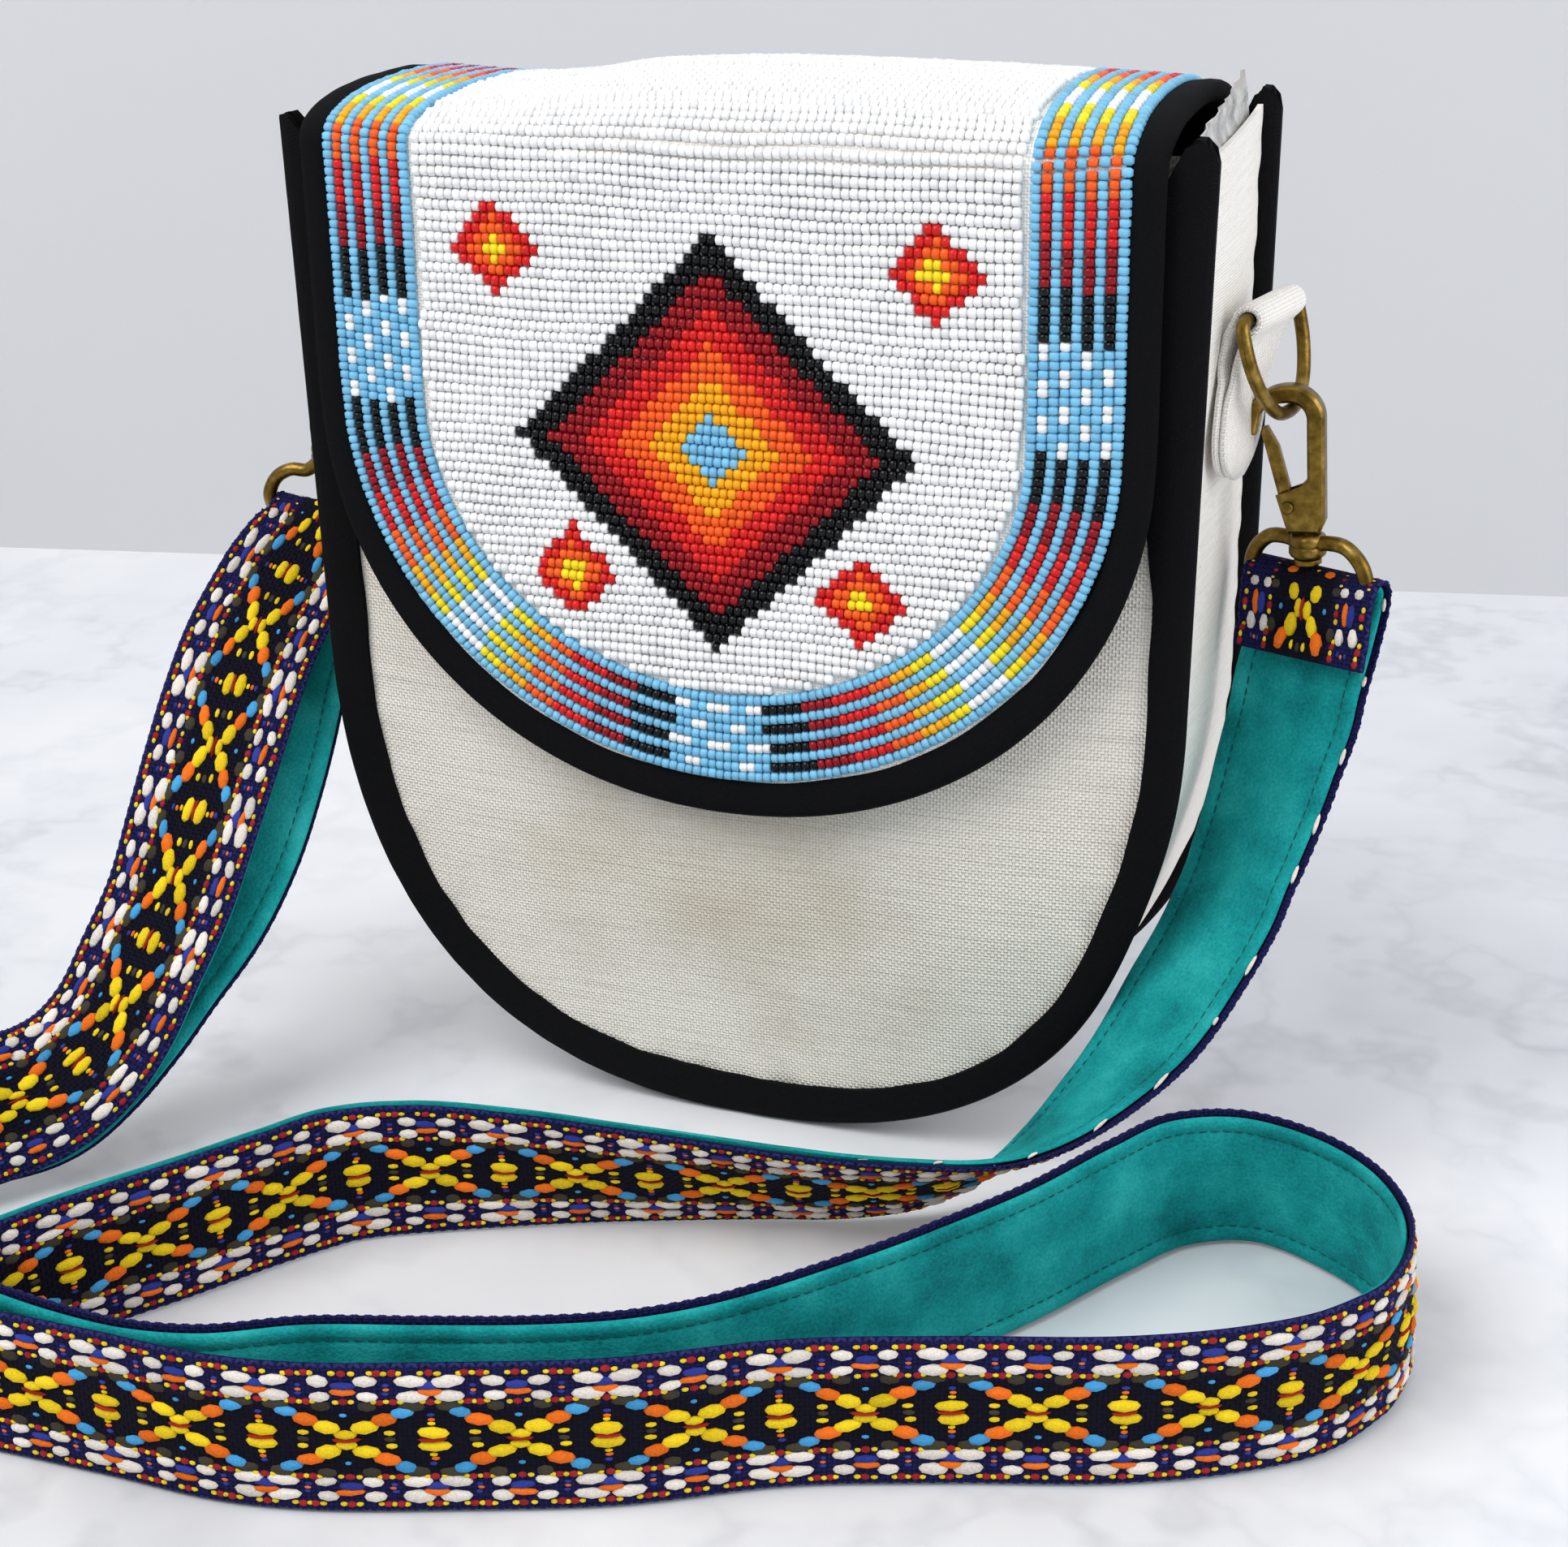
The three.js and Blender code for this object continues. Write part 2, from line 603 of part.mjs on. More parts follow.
// The hook's base on its swivel axis: the bow hangs in the ring
const HOOK_BASE = RING_LOW.clone().sub(hookTurn(-BOW_OFFSET, BOW_TOP - GAP - RING_WIRE / 2));

/** A point of the hook's plane in the bag's frame. */
const hookToBag = (x, up) => hookTurn(x, up).add(HOOK_BASE);

/** A canvas strip folded over the ring's bar and sewn to the gusset with a round tongue. */
function sideTab() {
  const back = TAB_BACK;
  const front = back + 2 * TAB_LAYER;
  const loop = TAB_LOOP;
  const shape = new THREE.Shape();
  shape.moveTo(back, TAB_FOOT);
  shape.lineTo(front, TAB_FOOT);
  shape.lineTo(front, TAB_BEND - 3);
  shape.lineTo(front + TAB_LAYER, TAB_BEND);
  shape.absarc(RING_BAR.x, RING_BAR.y, loop, -0.9, Math.PI * 0.93, false);
  shape.lineTo(back, TAB_BEND + 1);
  const eye = new THREE.Path();
  eye.absarc(RING_BAR.x, RING_BAR.y, RING_WIRE / 2 + GAP, 0, Math.PI * 2, false);
  shape.holes.push(eye);
  const strip = plate(shape, TAB_WIDTH);
  const half = TAB_WIDTH / 2;
  const tongue = new THREE.Shape();
  tongue.absarc(0, TAB_FOOT + half, half, Math.PI, 2 * Math.PI, false);
  tongue.lineTo(half, RING_BAR.y + 2 * loop);
  tongue.lineTo(-half, RING_BAR.y + 2 * loop);
  const outline = plate(tongue, BAG_WIDTH).rotateZ(Math.PI / 2).translate(BAG_WIDTH / 2, 0, 0);
  const tab = common(strip, outline);
  const place = tab.getAttribute("position");
  for (let i = 0; i < place.count; i += 1) {
    const rise = (place.getZ(i) - TAB_BEND) / (RING_BAR.y - loop - TAB_BEND);
    const turn = TAB_SKEW * THREE.MathUtils.clamp(rise, 0, 1);
    place.setX(i, place.getX(i) + turn * place.getY(i));
  }
  return tab;
}

/** A ring with a straight bar in the tab and a round bow below it. */
function dRing() {
  const half = TAB_WIDTH / 2 + RING_SIDE_PLAY + RING_WIRE / 2;
  const side = [
    v2(0, 0),
    v2(half * 0.86, 0),
    v2(half * 0.98, -RING_DROP * 0.05),
    v2(half, -RING_DROP * 0.18),
    v2(half * 0.95, -RING_DROP * 0.45),
    v2(half * 0.72, -RING_DROP * 0.76),
    v2(half * 0.35, -RING_DROP * 0.96),
    v2(0, -RING_DROP),
  ];
  const flat = [...side, ...side.slice(1, -1).reverse().map((p) => v2(-p.x, p.y))];
  const bar = v3(TAB_SKEW, 1, 0).normalize();
  const up = v3(RING_UP.x, 0, RING_UP.y);
  up.addScaledVector(bar, -up.dot(bar)).normalize();
  const at = v3(RING_BAR.x, 0, RING_BAR.y);
  const points = flat.map((p) => at.clone().addScaledVector(bar, p.x).addScaledVector(up, p.y));
  const curve = new THREE.CatmullRomCurve3(points, true);
  return wire(curve.getPoints(28).slice(0, -1), v3().crossVectors(bar, up), RING_WIRE, true);
}

// Swivel hooks, drawn in their own plane: X away from the bag, Z up from the base

/** The hook's outline: base block, spine, bow and tip. */
function hookOutline() {
  const inner = -BOW_OFFSET + BOW_RADIUS;
  const outer = inner + HOOK_ARM;
  const noseInner = -BOW_OFFSET - NOSE_REACH;
  const noseOuter = noseInner - NOSE_WIDTH;
  const noseEnd = BOW_CENTRE - NOSE_DROP;
  const bow = (reach, height, ...ends) =>
    shape.absellipse(-BOW_OFFSET, BOW_CENTRE, reach, height, ...ends);
  const shape = new THREE.Shape();
  shape.moveTo(-4.6, 0);
  shape.lineTo(3.2, 0);
  shape.lineTo(outer, 3);
  shape.lineTo(outer, BOW_CENTRE);
  bow(BOW_RADIUS + HOOK_ARM, BOW_RADIUS + HOOK_ARM, 0, Math.PI / 2, false);
  bow(NOSE_REACH + NOSE_WIDTH, BOW_RADIUS + HOOK_ARM, Math.PI / 2, Math.PI, false);
  shape.lineTo(noseOuter + NOSE_WIDTH / 4, noseEnd);
  shape.lineTo(noseInner - NOSE_WIDTH / 4, noseEnd);
  shape.lineTo(noseInner, BOW_CENTRE);
  bow(NOSE_REACH, BOW_RADIUS, Math.PI, Math.PI / 2, true);
  bow(BOW_RADIUS, BOW_RADIUS, Math.PI / 2, 0, true);
  shape.lineTo(inner, 13.5);
  shape.lineTo(-1.4, 11.6);
  shape.lineTo(-7.4, 9.4);
  return shape;
}

function hookBody() {
  const body = plate(hookOutline(), HOOK_DEPTH, 0, HOOK_BEVEL);
  const slotBottom = 2.4;
  const slotRight = -0.9;
  const slot = new THREE.BoxGeometry(16, GATE_SLOT, 16);
  slot.translate(slotRight - 8, 0, slotBottom + 8);
  const hole = peg(RIVET_RADIUS + RUNNING, -HOOK_DEPTH, HOOK_DEPTH, GATE_PIVOT);
  const stemEnd = GAP + COLLAR_HEIGHT + GAP;
  const stem = new THREE.LatheGeometry(
    [
      v2(0, -stemEnd - 2.2),
      v2(STEM_RADIUS, -stemEnd - 2.2),
      v2(STEM_RADIUS + 1.4, -stemEnd - 1.2),
      v2(STEM_RADIUS + 1.4, -stemEnd),
      v2(STEM_RADIUS, -stemEnd),
      v2(STEM_RADIUS, CUT),
      v2(0, CUT),
    ],
    ROUND_SIDES,
  );
  stem.rotateX(Math.PI / 2);
  return join(cut(body, slot, hole), stem);
}

/** The sprung lever that closes the hook, with a seat for the spring on one side. */
function gate() {
  const [px, pz] = GATE_PIVOT;
  const [tx, tz] = GATE_TIP;
  const length = Math.hypot(tx - px, tz - pz);
  const along = v2(tx - px, tz - pz).divideScalar(length);
  const side = v2(-along.y, along.x);
  const at = (way, across) => {
    const p = v2(px, pz).addScaledVector(along, way).addScaledVector(side, across);
    return [p.x, p.y];
  };
  const half = GATE_ARM / 2;
  const shape = new THREE.Shape();
  const turn = Math.atan2(along.y, along.x);
  shape.absarc(px, pz, GATE_ARM * 0.7, turn + Math.PI * 0.72, turn - Math.PI * 0.72, false);
  shape.lineTo(...at(0, -half));
  shape.lineTo(...at(length - GATE_TAPER, -half));
  shape.lineTo(...at(length, half * 0.7 - GATE_TIP_WIDTH));
  shape.lineTo(...at(length, half * 0.7));
  shape.lineTo(...at(length - GATE_TAPER / 4, half));
  shape.lineTo(...at(0, half));
  const lever = plate(shape, GATE_THICK);
  const eye = peg(RIVET_RADIUS + RUNNING, -GATE_SLOT, GATE_SLOT, GATE_PIVOT);
  const seat = peg(SPRING_RADIUS + SPRING_WIRE + GAP, 0.1, GATE_SLOT, GATE_PIVOT);
  return cut(lever, eye, seat);
}

function gateRivet() {
  const end = HOOK_DEPTH / 2 + GAP / 2;
  const profile = [
    v2(0, -end - 0.6),
    v2(RIVET_HEAD * 0.8, -end - 0.6),
    v2(RIVET_HEAD, -end - 0.2),
    v2(RIVET_HEAD, -end),
    v2(RIVET_RADIUS, -end),
  ];
  const mirrored = profile.map((p) => v2(p.x, -p.y)).reverse();
  const [x, z] = GATE_PIVOT;
  return new THREE.LatheGeometry([...profile, ...mirrored], ROUND_SIDES).translate(x, 0, z);
}

/** The coil round the rivet that closes the gate. */
function gateSpring() {
  const steps = Math.round(10 * SPRING_TURNS);
  const start = 0.1 + GAP / 2 + SPRING_WIRE / 2;
  const end = GATE_SLOT / 2 - GAP / 2 - SPRING_WIRE / 2;
  const [x, z] = GATE_PIVOT;
  const frames = Array.from({ length: steps + 1 }, (_, i) => {
    const turn = (2 * Math.PI * SPRING_TURNS * i) / steps;
    const across = v3(Math.cos(turn), 0, Math.sin(turn));
    const origin = v3(x, THREE.MathUtils.lerp(start, end, i / steps), z);
    return { origin: origin.addScaledVector(across, SPRING_RADIUS), across, out: v3(0, 1, 0) };
  });
  return sweep(circle(SPRING_WIRE / 2, 5), frames);
}

/** The loop that carries the strap, with the collar that the hook turns in. */
function swivelLoop() {
  const bar = -LOOP_BAR_DROP;
  const arch = -GAP - COLLAR_HEIGHT / 2;
  const half = [
    v2(0, arch),
    v2(LOOP_HALF * 0.36, arch + 0.5),
    v2(LOOP_HALF * 0.68, arch - 0.8),
    v2(LOOP_HALF * 0.92, arch - 4.8),
    v2(LOOP_HALF, (arch + bar) / 2 - 1.6),
    v2(LOOP_HALF * 0.97, bar + 2.2),
    v2(LOOP_HALF * 0.91, bar + 0.35),
    v2(LOOP_HALF * 0.84, bar),
    v2(LOOP_HALF * 0.76, bar),
    v2(0, bar),
  ];
  const flat = [...half, ...half.slice(1, -1).reverse().map((p) => v2(-p.x, p.y))];
  const curve = new THREE.CatmullRomCurve3(flat.map((p) => v3(p.x, 0, p.y)), true);
  const ring = wire(curve.getPoints(36).slice(0, -1), v3(0, 1, 0), LOOP_WIRE, true);
  const drum = new THREE.CylinderGeometry(COLLAR_RADIUS, COLLAR_RADIUS, COLLAR_HEIGHT, ROUND_SIDES);
  const bore = new THREE.CylinderGeometry(
    STEM_RADIUS + RUNNING,
    STEM_RADIUS + RUNNING,
    COLLAR_HEIGHT + 2 * CUT,
    ROUND_SIDES,
  );
  for (const part of [drum, bore]) part.rotateX(Math.PI / 2).translate(0, 0, arch);
  return cut(join(ring, drum), bore);
}

// Strap

const STRAP_THICK = BAND_THICK + GAP + LINING_THICK;
const FOLD_RADIUS = LOOP_WIRE / 2 + GAP + STRAP_THICK / 2; // middle of the strap round a loop's bar
const FOLD_SHARE = (2 * LOOP_HALF - LOOP_WIRE - 4 * GAP) / STRAP_WIDTH; // the strap gathers in a loop

/** Middle and direction of a swivel loop's bar; side is 1 on the right and -1 on the left. */
function loopBar(side, turn) {
  const at = hookToBag(0, -LOOP_BAR_DROP);
  const across = v3(Math.cos(turn) * Math.cos(TILT), -Math.sin(turn), Math.cos(turn) * Math.sin(TILT));
  return {
    middle: v3(side * at.x, SIDE_SHIFT, at.y),
    along: v3(side * across.x, side * across.y, across.z),
  };
}
const rightBar = loopBar(1, degrees(LOOP_TURN.right));
const leftBar = loopBar(-1, degrees(LOOP_TURN.left));

/** Stations of the strap's fold over a bar: away is the way it leaves, front the side of its last end. */
function foldStations(bar, away, sign) {
  const up = away.clone().negate();
  up.addScaledVector(bar.along, -up.dot(bar.along)).normalize();
  const front = v3().crossVectors(bar.along, up).multiplyScalar(sign);
  const station = (forward, rise) => ({
    at: bar.middle.clone().addScaledVector(front, forward).addScaledVector(up, rise),
    edge: bar.along,
    share: FOLD_SHARE,
  });
  const turn = Array.from({ length: 5 }, (_, i) => {
    const angle = (Math.PI * i) / 4;
    return station(FOLD_RADIUS * Math.cos(angle), FOLD_RADIUS * Math.sin(angle));
  });
  return { turn, station };
}

// The free strap, from the right hook to the left one: the strap's middle, and the direction of the edge
// that is uppermost where the strap stands on its other edge.
const STRAP_RIGHT_DROP = [
  [[137, 0.8, 131], [0.93, -0.35, 0.12]],
  [[135.6, -2.3, 121], [0.91, -0.38, 0.18]],
  [[133.5, -5.5, 110.5], [0.88, -0.41, 0.23]],
  [[131.3, -9.5, 99], [0.86, -0.43, 0.28]],
  [[128.3, -16, 86], [0.84, -0.45, 0.31]],
  [[124.5, -25, 73], [0.84, -0.45, 0.31]],
  [[118, -36, 59], [0.83, -0.47, 0.3]],
  [[111, -46, 46.5], [0.77, -0.57, 0.29]],
  [[102, -56.5, 36], [0.65, -0.68, 0.34]],
  [[91.5, -66.5, 27], [0.51, -0.73, 0.45]],
  [[80, -74.5, 21], [0.4, -0.69, 0.6]],
  [[64, -82, 17.6], [0.33, -0.58, 0.74]],
];
const STRAP_NEAR_RUN = [
  [[46, -88, 16.7], [0.27, -0.54, 0.8]],
  [[31, -91.8, 16.9], [0.25, -0.5, 0.83]],
  [[13, -96.7, 17.6], [0.27, -0.41, 0.87]],
  [[-9, -103, 18.5], [0.24, -0.3, 0.92]],
  [[-30, -109.5, 19.3], [0.15, -0.18, 0.97]],
  [[-54, -117.5, 19.4], [0.03, -0.04, 1]],
  [[-71, -127, 19.4], [0, 0, 1]],
  [[-83.5, -143, 19.4], [0, 0, 1]],
  [[-95, -160, 19.4], [0, 0, 1]],
  [[-106, -175, 19.4], [0, 0, 1]],
  [[-116, -190, 19.4], [0, 0, 1]],
  [[-121.5, -201, 19.4], [0, 0, 1]],
  [[-121, -209.5, 19.4], [0, 0, 1]],
  [[-114.5, -214, 19.4], [0, 0, 1]],
];
const STRAP_FRONT_LOOP = [
  [[-104, -214.5, 19.4], [0, 0, 1]],
  [[-88, -217.5, 19.4], [0, 0, 1]],
  [[-70, -218.8, 19.4], [0, 0, 1]],
  [[-53, -216, 19.4], [0, 0, 1]],
  [[-34, -207, 19.4], [0, 0, 1]],
  [[-9, -198.5, 19.4], [0, 0, 1]],
  [[12, -191, 19.4], [0, 0, 1]],
  [[31, -182, 19.4], [0, 0, 1]],
  [[47, -170, 19.4], [0, 0, 1]],
  [[66, -149, 19.4], [0, 0, 1]],
  [[83, -127, 19.4], [0, 0, 1]],
  [[99, -104, 19.4], [-0.03, -0.02, 1]],
  [[113, -79, 19.4], [-0.08, -0.05, 1]],
  [[124.5, -62, 19.4], [-0.12, -0.08, 0.99]],
  [[141, -54.5, 19.3], [-0.1, -0.08, 0.99]],
  [[160, -60, 19.3], [-0.09, -0.02, 0.99]],
  [[176, -73, 19.3], [-0.1, 0, 0.99]],
  [[184, -91, 19.4], [-0.06, 0, 1]],
  [[183, -112, 19.4], [0, 0, 1]],
  [[173, -130, 19.4], [0, 0, 1]],
  [[157, -143, 19.4], [0, 0, 1]],
  [[133, -155.5, 19.4], [0, 0, 1]],
  [[97, -168, 19.4], [0, 0, 1]],
  [[66, -180, 19.4], [0, 0, 1]],
  [[34, -198, 19.4], [0, 0, 1]],
  [[3, -210.5, 19.4], [0, 0, 1]],
  [[-27, -221, 19.4], [0, 0, 1]],
  [[-48, -225, 19.4], [0, 0, 1]],
  [[-75, -225.5, 19.4], [0, 0, 1]],
  [[-104, -226.5, 19.4], [0, 0, 1]],
  [[-138, -228.5, 19.4], [0, 0, 1]],
  [[-172, -230, 19.4], [0, 0, 1]],
  [[-198, -225, 19.8], [-0.03, 0.01, 1]],
  [[-211.5, -213.5, 21], [-0.08, 0.03, 1]],
  [[-212, -201, 22.6], [-0.13, 0.04, 0.99]],
];
const STRAP_LEFT_FRONT = [
  [[-140.6, -14, 133], [-0.97, -0.09, 0.22]],
  [[-142, -31, 119], [-0.96, -0.09, 0.26]],
  [[-142.3, -45, 106], [-0.96, -0.07, 0.27]],
  [[-142.8, -56, 94], [-0.96, -0.03, 0.28]],
  [[-144, -68, 79], [-0.97, 0.02, 0.25]],
  [[-146, -80, 63], [-0.98, 0.07, 0.2]],
  [[-149, -92, 49], [-0.97, 0.11, 0.22]],
  [[-152, -102, 37], [-0.95, 0.14, 0.28]],
  [[-156.5, -112, 28.5], [-0.89, 0.16, 0.43]],
  [[-162.5, -122, 24], [-0.76, 0.15, 0.63]],
  [[-170.5, -134, 22.8], [-0.5, 0.12, 0.86]],
];
// Where the doubled strap's rear layer lies from the front one, away from the camera side and to its right
const STRAP_REAR_OFFSET = [
  [9, 3],
  [12, 6],
  [13, 9],
  [13, 10],
  [12, 10],
  [10, 8],
  [8, 4],
  [6.5, 0],
  [6, -1],
  [6, 0],
  [5.5, 0],
];
const SLIDER_EDGE = v3(-0.15, 0.05, 0.99).normalize();
const SLIDER_WAY = v3(0.53, 0.846, 0.06); // along the strap, towards the left hook

const station = ([at, edge]) => ({ at: v3(...at), edge: v3(...edge).normalize() });

const sliderFrame = (() => {
  const way = SLIDER_WAY.clone().addScaledVector(SLIDER_EDGE, -SLIDER_WAY.dot(SLIDER_EDGE)).normalize();
  const face = v3().crossVectors(way, SLIDER_EDGE);
  const middle = v3(...SLIDER_AT);
  const at = (along, out) => ({
    at: middle.clone().addScaledVector(way, along).addScaledVector(face, out),
    edge: SLIDER_EDGE,
    along,
    out,
  });
  return { middle, way, face, at };
})();

/** All stations, from the sewn tail at the right hook to the end sewn round the slider's middle bar. */
function strapStations() {
  const drop = STRAP_RIGHT_DROP.map(station);
  const right = foldStations(rightBar, drop[1].at.clone().sub(rightBar.middle), 1);
  const layer = STRAP_THICK + GAP;
  const tail = drop.slice(0, 3).map(({ at, edge }, i) => {
    const way = drop[i + 1].at.clone().sub(i ? drop[i - 1].at : rightBar.middle);
    const front = v3().crossVectors(way, edge).normalize();
    return { at: at.clone().addScaledVector(front, layer + 4 * GAP), edge };
  });
  const front = STRAP_LEFT_FRONT.map(station);
  const left = foldStations(leftBar, front[0].at.clone().sub(leftBar.middle), -1);
  const rear = front.map(({ at, edge }, i) => {
    const before = front[Math.max(i - 1, 0)].at;
    const after = front[Math.min(i + 1, front.length - 1)].at;
    const back = v3().crossVectors(after.clone().sub(before), edge).normalize();
    const [behind, right] = STRAP_REAR_OFFSET[i];
    return { at: at.clone().addScaledVector(back, behind).addScaledVector(edge, -right), edge };
  });
  const over = SLIDER_THICK / 2 + GAP + STRAP_THICK / 2;
  const slider = sliderFrame.at;
  const step = SLIDER_HALF[1] - SLIDER_BAR / 2;
  const wrap = over + 0.7; // the sewn end round the middle bar
  const under = -wrap - layer - GAP;
  const rearWeave = [
    slider(-step, over + 1),
    slider(-step * 0.83, over + 0.6),
    slider(-step * 0.59, -over * 0.25),
    slider(-step * 0.36, under * 0.8),
    slider(-step * 0.13, under),
  ];
  const mirrored = (side) => slider(-side.along, side.out);
  const entry = slider(-step * 1.6, over + 0.8);
  const weave = [entry, ...rearWeave, ...rearWeave.map(mirrored).reverse(), mirrored(entry)];
  const end = [
    slider(step * 1.7, over + layer + 2.2),
    slider(step * 1.05, over + layer + 2.4),
    slider(step * 0.5, wrap + layer * 0.8),
    ...[0, 0.25, 0.5, 0.75, 1].map((share) => {
      const turn = Math.PI * share;
      return slider(-wrap * Math.sin(turn), wrap * Math.cos(turn));
    }),
  ];
  return [
    ...tail.reverse(),
    ...right.turn,
    ...drop,
    ...STRAP_NEAR_RUN.map(station),
    ...STRAP_FRONT_LOOP.map(station),
    ...weave,
    ...rear.reverse(),
    left.station(-FOLD_RADIUS - 0.6, -FOLD_RADIUS * 2),
    ...left.turn.reverse(),
    left.station(FOLD_RADIUS * 0.9, -FOLD_RADIUS * 2),
    ...front,
    ...end,
  ];
}

/** Frames along the strap, close together where it bends or twists and further apart where it is straight. */
function strapFrames() {
  const stations = strapStations();
  const middles = new THREE.CatmullRomCurve3(stations.map((s) => s.at), false, "centripetal");
  const edges = new THREE.CatmullRomCurve3(stations.map((s) => s.edge), false, "centripetal");
  const last = stations.length - 1;
  const steps = last * 8;
  const width = (at) => {
    const i = Math.min(Math.floor(at), last - 1);
    return THREE.MathUtils.lerp(stations[i].share ?? 1, stations[i + 1].share ?? 1, at - i);
  };
  const all = Array.from({ length: steps + 1 }, (_, i) => {
    const share = i / steps;
    const way = middles.getTangent(share);
    const across = edges.getPoint(share);
    across.addScaledVector(way, -across.dot(way)).normalize();
    const out = v3().crossVectors(way, across);
    return { origin: middles.getPoint(share), across, out, width: width(share * last) };
  });
  const kept = [all[0]];
  for (let i = 1; i < steps; i += 1) {
    const before = kept.at(-1);
    const next = all[i + 1];
    const turn = before.out.angleTo(next.out) + before.across.angleTo(next.across);
    const far = before.origin.distanceTo(next.origin) > STRAP_SPAN;
    if (turn > STRAP_TURN || far) kept.push(all[i]);
  }
  return [...kept, all[steps]];
}

/**
 * One layer of the strap: width across, between two distances on its lining's side.
 * Both of its faces are split along the same diagonals, so that it stays as thick where it twists.
 */
function strapLayer(width, near, far) {
  const corners = [v2(width / 2, near), v2(-width / 2, near), v2(-width / 2, far), v2(width / 2, far)];
  const frames = strapFrames();
  const points = frames.flatMap(({ origin, across, out, width: share }) =>
    corners.map((p) => origin.clone().addScaledVector(across, p.x * share).addScaledVector(out, p.y)),
  );
  const triangles = [[0, 3, 2], [0, 2, 1]];
  for (let i = 0; i + 1 < frames.length; i += 1) {
    const [a0, a1, a2, a3] = [0, 1, 2, 3].map((k) => 4 * i + k);
    const [b0, b1, b2, b3] = [4, 5, 6, 7].map((k) => 4 * i + k);
    triangles.push([a0, a1, b0], [a1, b1, b0]);
    triangles.push([a2, a3, b3], [a2, b3, b2]);
    triangles.push([a1, a2, b1], [a2, b2, b1]);
    triangles.push([a3, a0, b3], [a0, b0, b3]);
  }
  const end = points.length - 4;
  triangles.push([end, end + 1, end + 2], [end, end + 2, end + 3]);
  return solid(points, triangles);
}

/** The flat slider with a middle bar. */
function slider() {
  const [wide, long] = SLIDER_HALF;
  const bar = SLIDER_BAR / 2;
  const frame = new THREE.Shape();
  frame.moveTo(-wide + 2, -long);
  frame.lineTo(wide - 2, -long);
  frame.quadraticCurveTo(wide, -long, wide, -long + 2);
  frame.lineTo(wide, long - 2);
  frame.quadraticCurveTo(wide, long, wide - 2, long);
  frame.lineTo(-wide + 2, long);
  frame.quadraticCurveTo(-wide, long, -wide, long - 2);
  frame.lineTo(-wide, -long + 2);
  frame.quadraticCurveTo(-wide, -long, -wide + 2, -long);
  const slotHalf = STRAP_WIDTH / 2 + 2 * GAP;
  for (const side of [1, -1]) {
    const near = side * bar;
    const far = side * (long - SLIDER_BAR);
    frame.holes.push(
      new THREE.Path([v2(-slotHalf, near), v2(slotHalf, near), v2(slotHalf, far), v2(-slotHalf, far)]),
    );
  }
  const body = new THREE.ExtrudeGeometry(frame, {
    depth: SLIDER_THICK,
    bevelEnabled: false,
    curveSegments: 3,
  });
  body.translate(0, 0, -SLIDER_THICK / 2);
  const { middle, way, face } = sliderFrame;
  const across = v3().crossVectors(way, face);
  return body.applyMatrix4(new THREE.Matrix4().makeBasis(across, way, face).setPosition(middle));
}

// Materials

const finish = (color, roughness, metalness = 0) =>
  new THREE.MeshStandardMaterial({ color, roughness, metalness });
const canvas = finish(0xded7cd, 0.95);
const gussetCanvas = finish(0xebe6e1, 0.95);
const blackTape = finish(0x0c0c0e, 0.95);
const film = finish(0xb9b6b0, 0.3);
const brass = finish(0x8a7038, 0.4, 1);
const steel = finish(0x9a9a98, 0.35, 1);
const woven = finish(0x1d1b33, 0.9);
const teal = finish(0x107670, 0.95);
const beads = (color) => finish(color, 0.25);
const MOTIF_COLOURS = [0x0f0f12, 0x8c141e, 0xc82823, 0xeb5a1e, 0xf5aa14, 0x73b9e1];

// Assembly

const bag = new THREE.Group();

function add(parent, name, geometry, material) {
  const mesh = new THREE.Mesh(geometry, material);
  mesh.name = name;
  parent.add(mesh);
  return mesh;
}

add(bag, "front_panel", panel(-1), canvas);
add(bag, "back_panel", panel(1), canvas);
add(bag, "gusset", gusset(), gussetCanvas);
add(bag, "front_binding", panelBinding(-1), blackTape);
add(bag, "back_binding", panelBinding(1), blackTape);
add(bag, "film_tab", filmTab(), film);

const clothMargin = FLAP_BINDING_WALL + GAP;
add(bag, "flap", flapLayer(flapRows(clothMargin), -FLAP_THICK / 2, FLAP_THICK / 2, 8), blackTape);
const trim = bindingSection(FLAP_BINDING_WIDTH, FLAP_BINDING_THICK, FLAP_BINDING_WALL);
add(bag, "flap_binding", flapTrim(trim), blackTape);
add(bag, "bead_border", beadBorder(), beads(0x73b9e1));
add(bag, "bead_ground", beadGround(), beads(0xf0f0f2));
for (let ring = 0; ring < MOTIF_RINGS; ring += 1) {
  const reach = (inside) => (MOTIF_HALF * (MOTIF_RINGS - inside)) / MOTIF_RINGS;
  const innermost = ring === MOTIF_RINGS - 1;
  const geometry = beadField(MOTIF_CENTRE, reach(ring), innermost ? null : reach(ring + 1));
  add(bag, `bead_diamond_${ring + 1}`, geometry, beads(MOTIF_COLOURS[ring]));
}
CORNERS.forEach((centre, i) => {
  add(bag, `bead_corner_${i + 1}`, beadField(centre, CORNER_HALF), beads(MOTIF_COLOURS[2 + (i % 2)]));
});

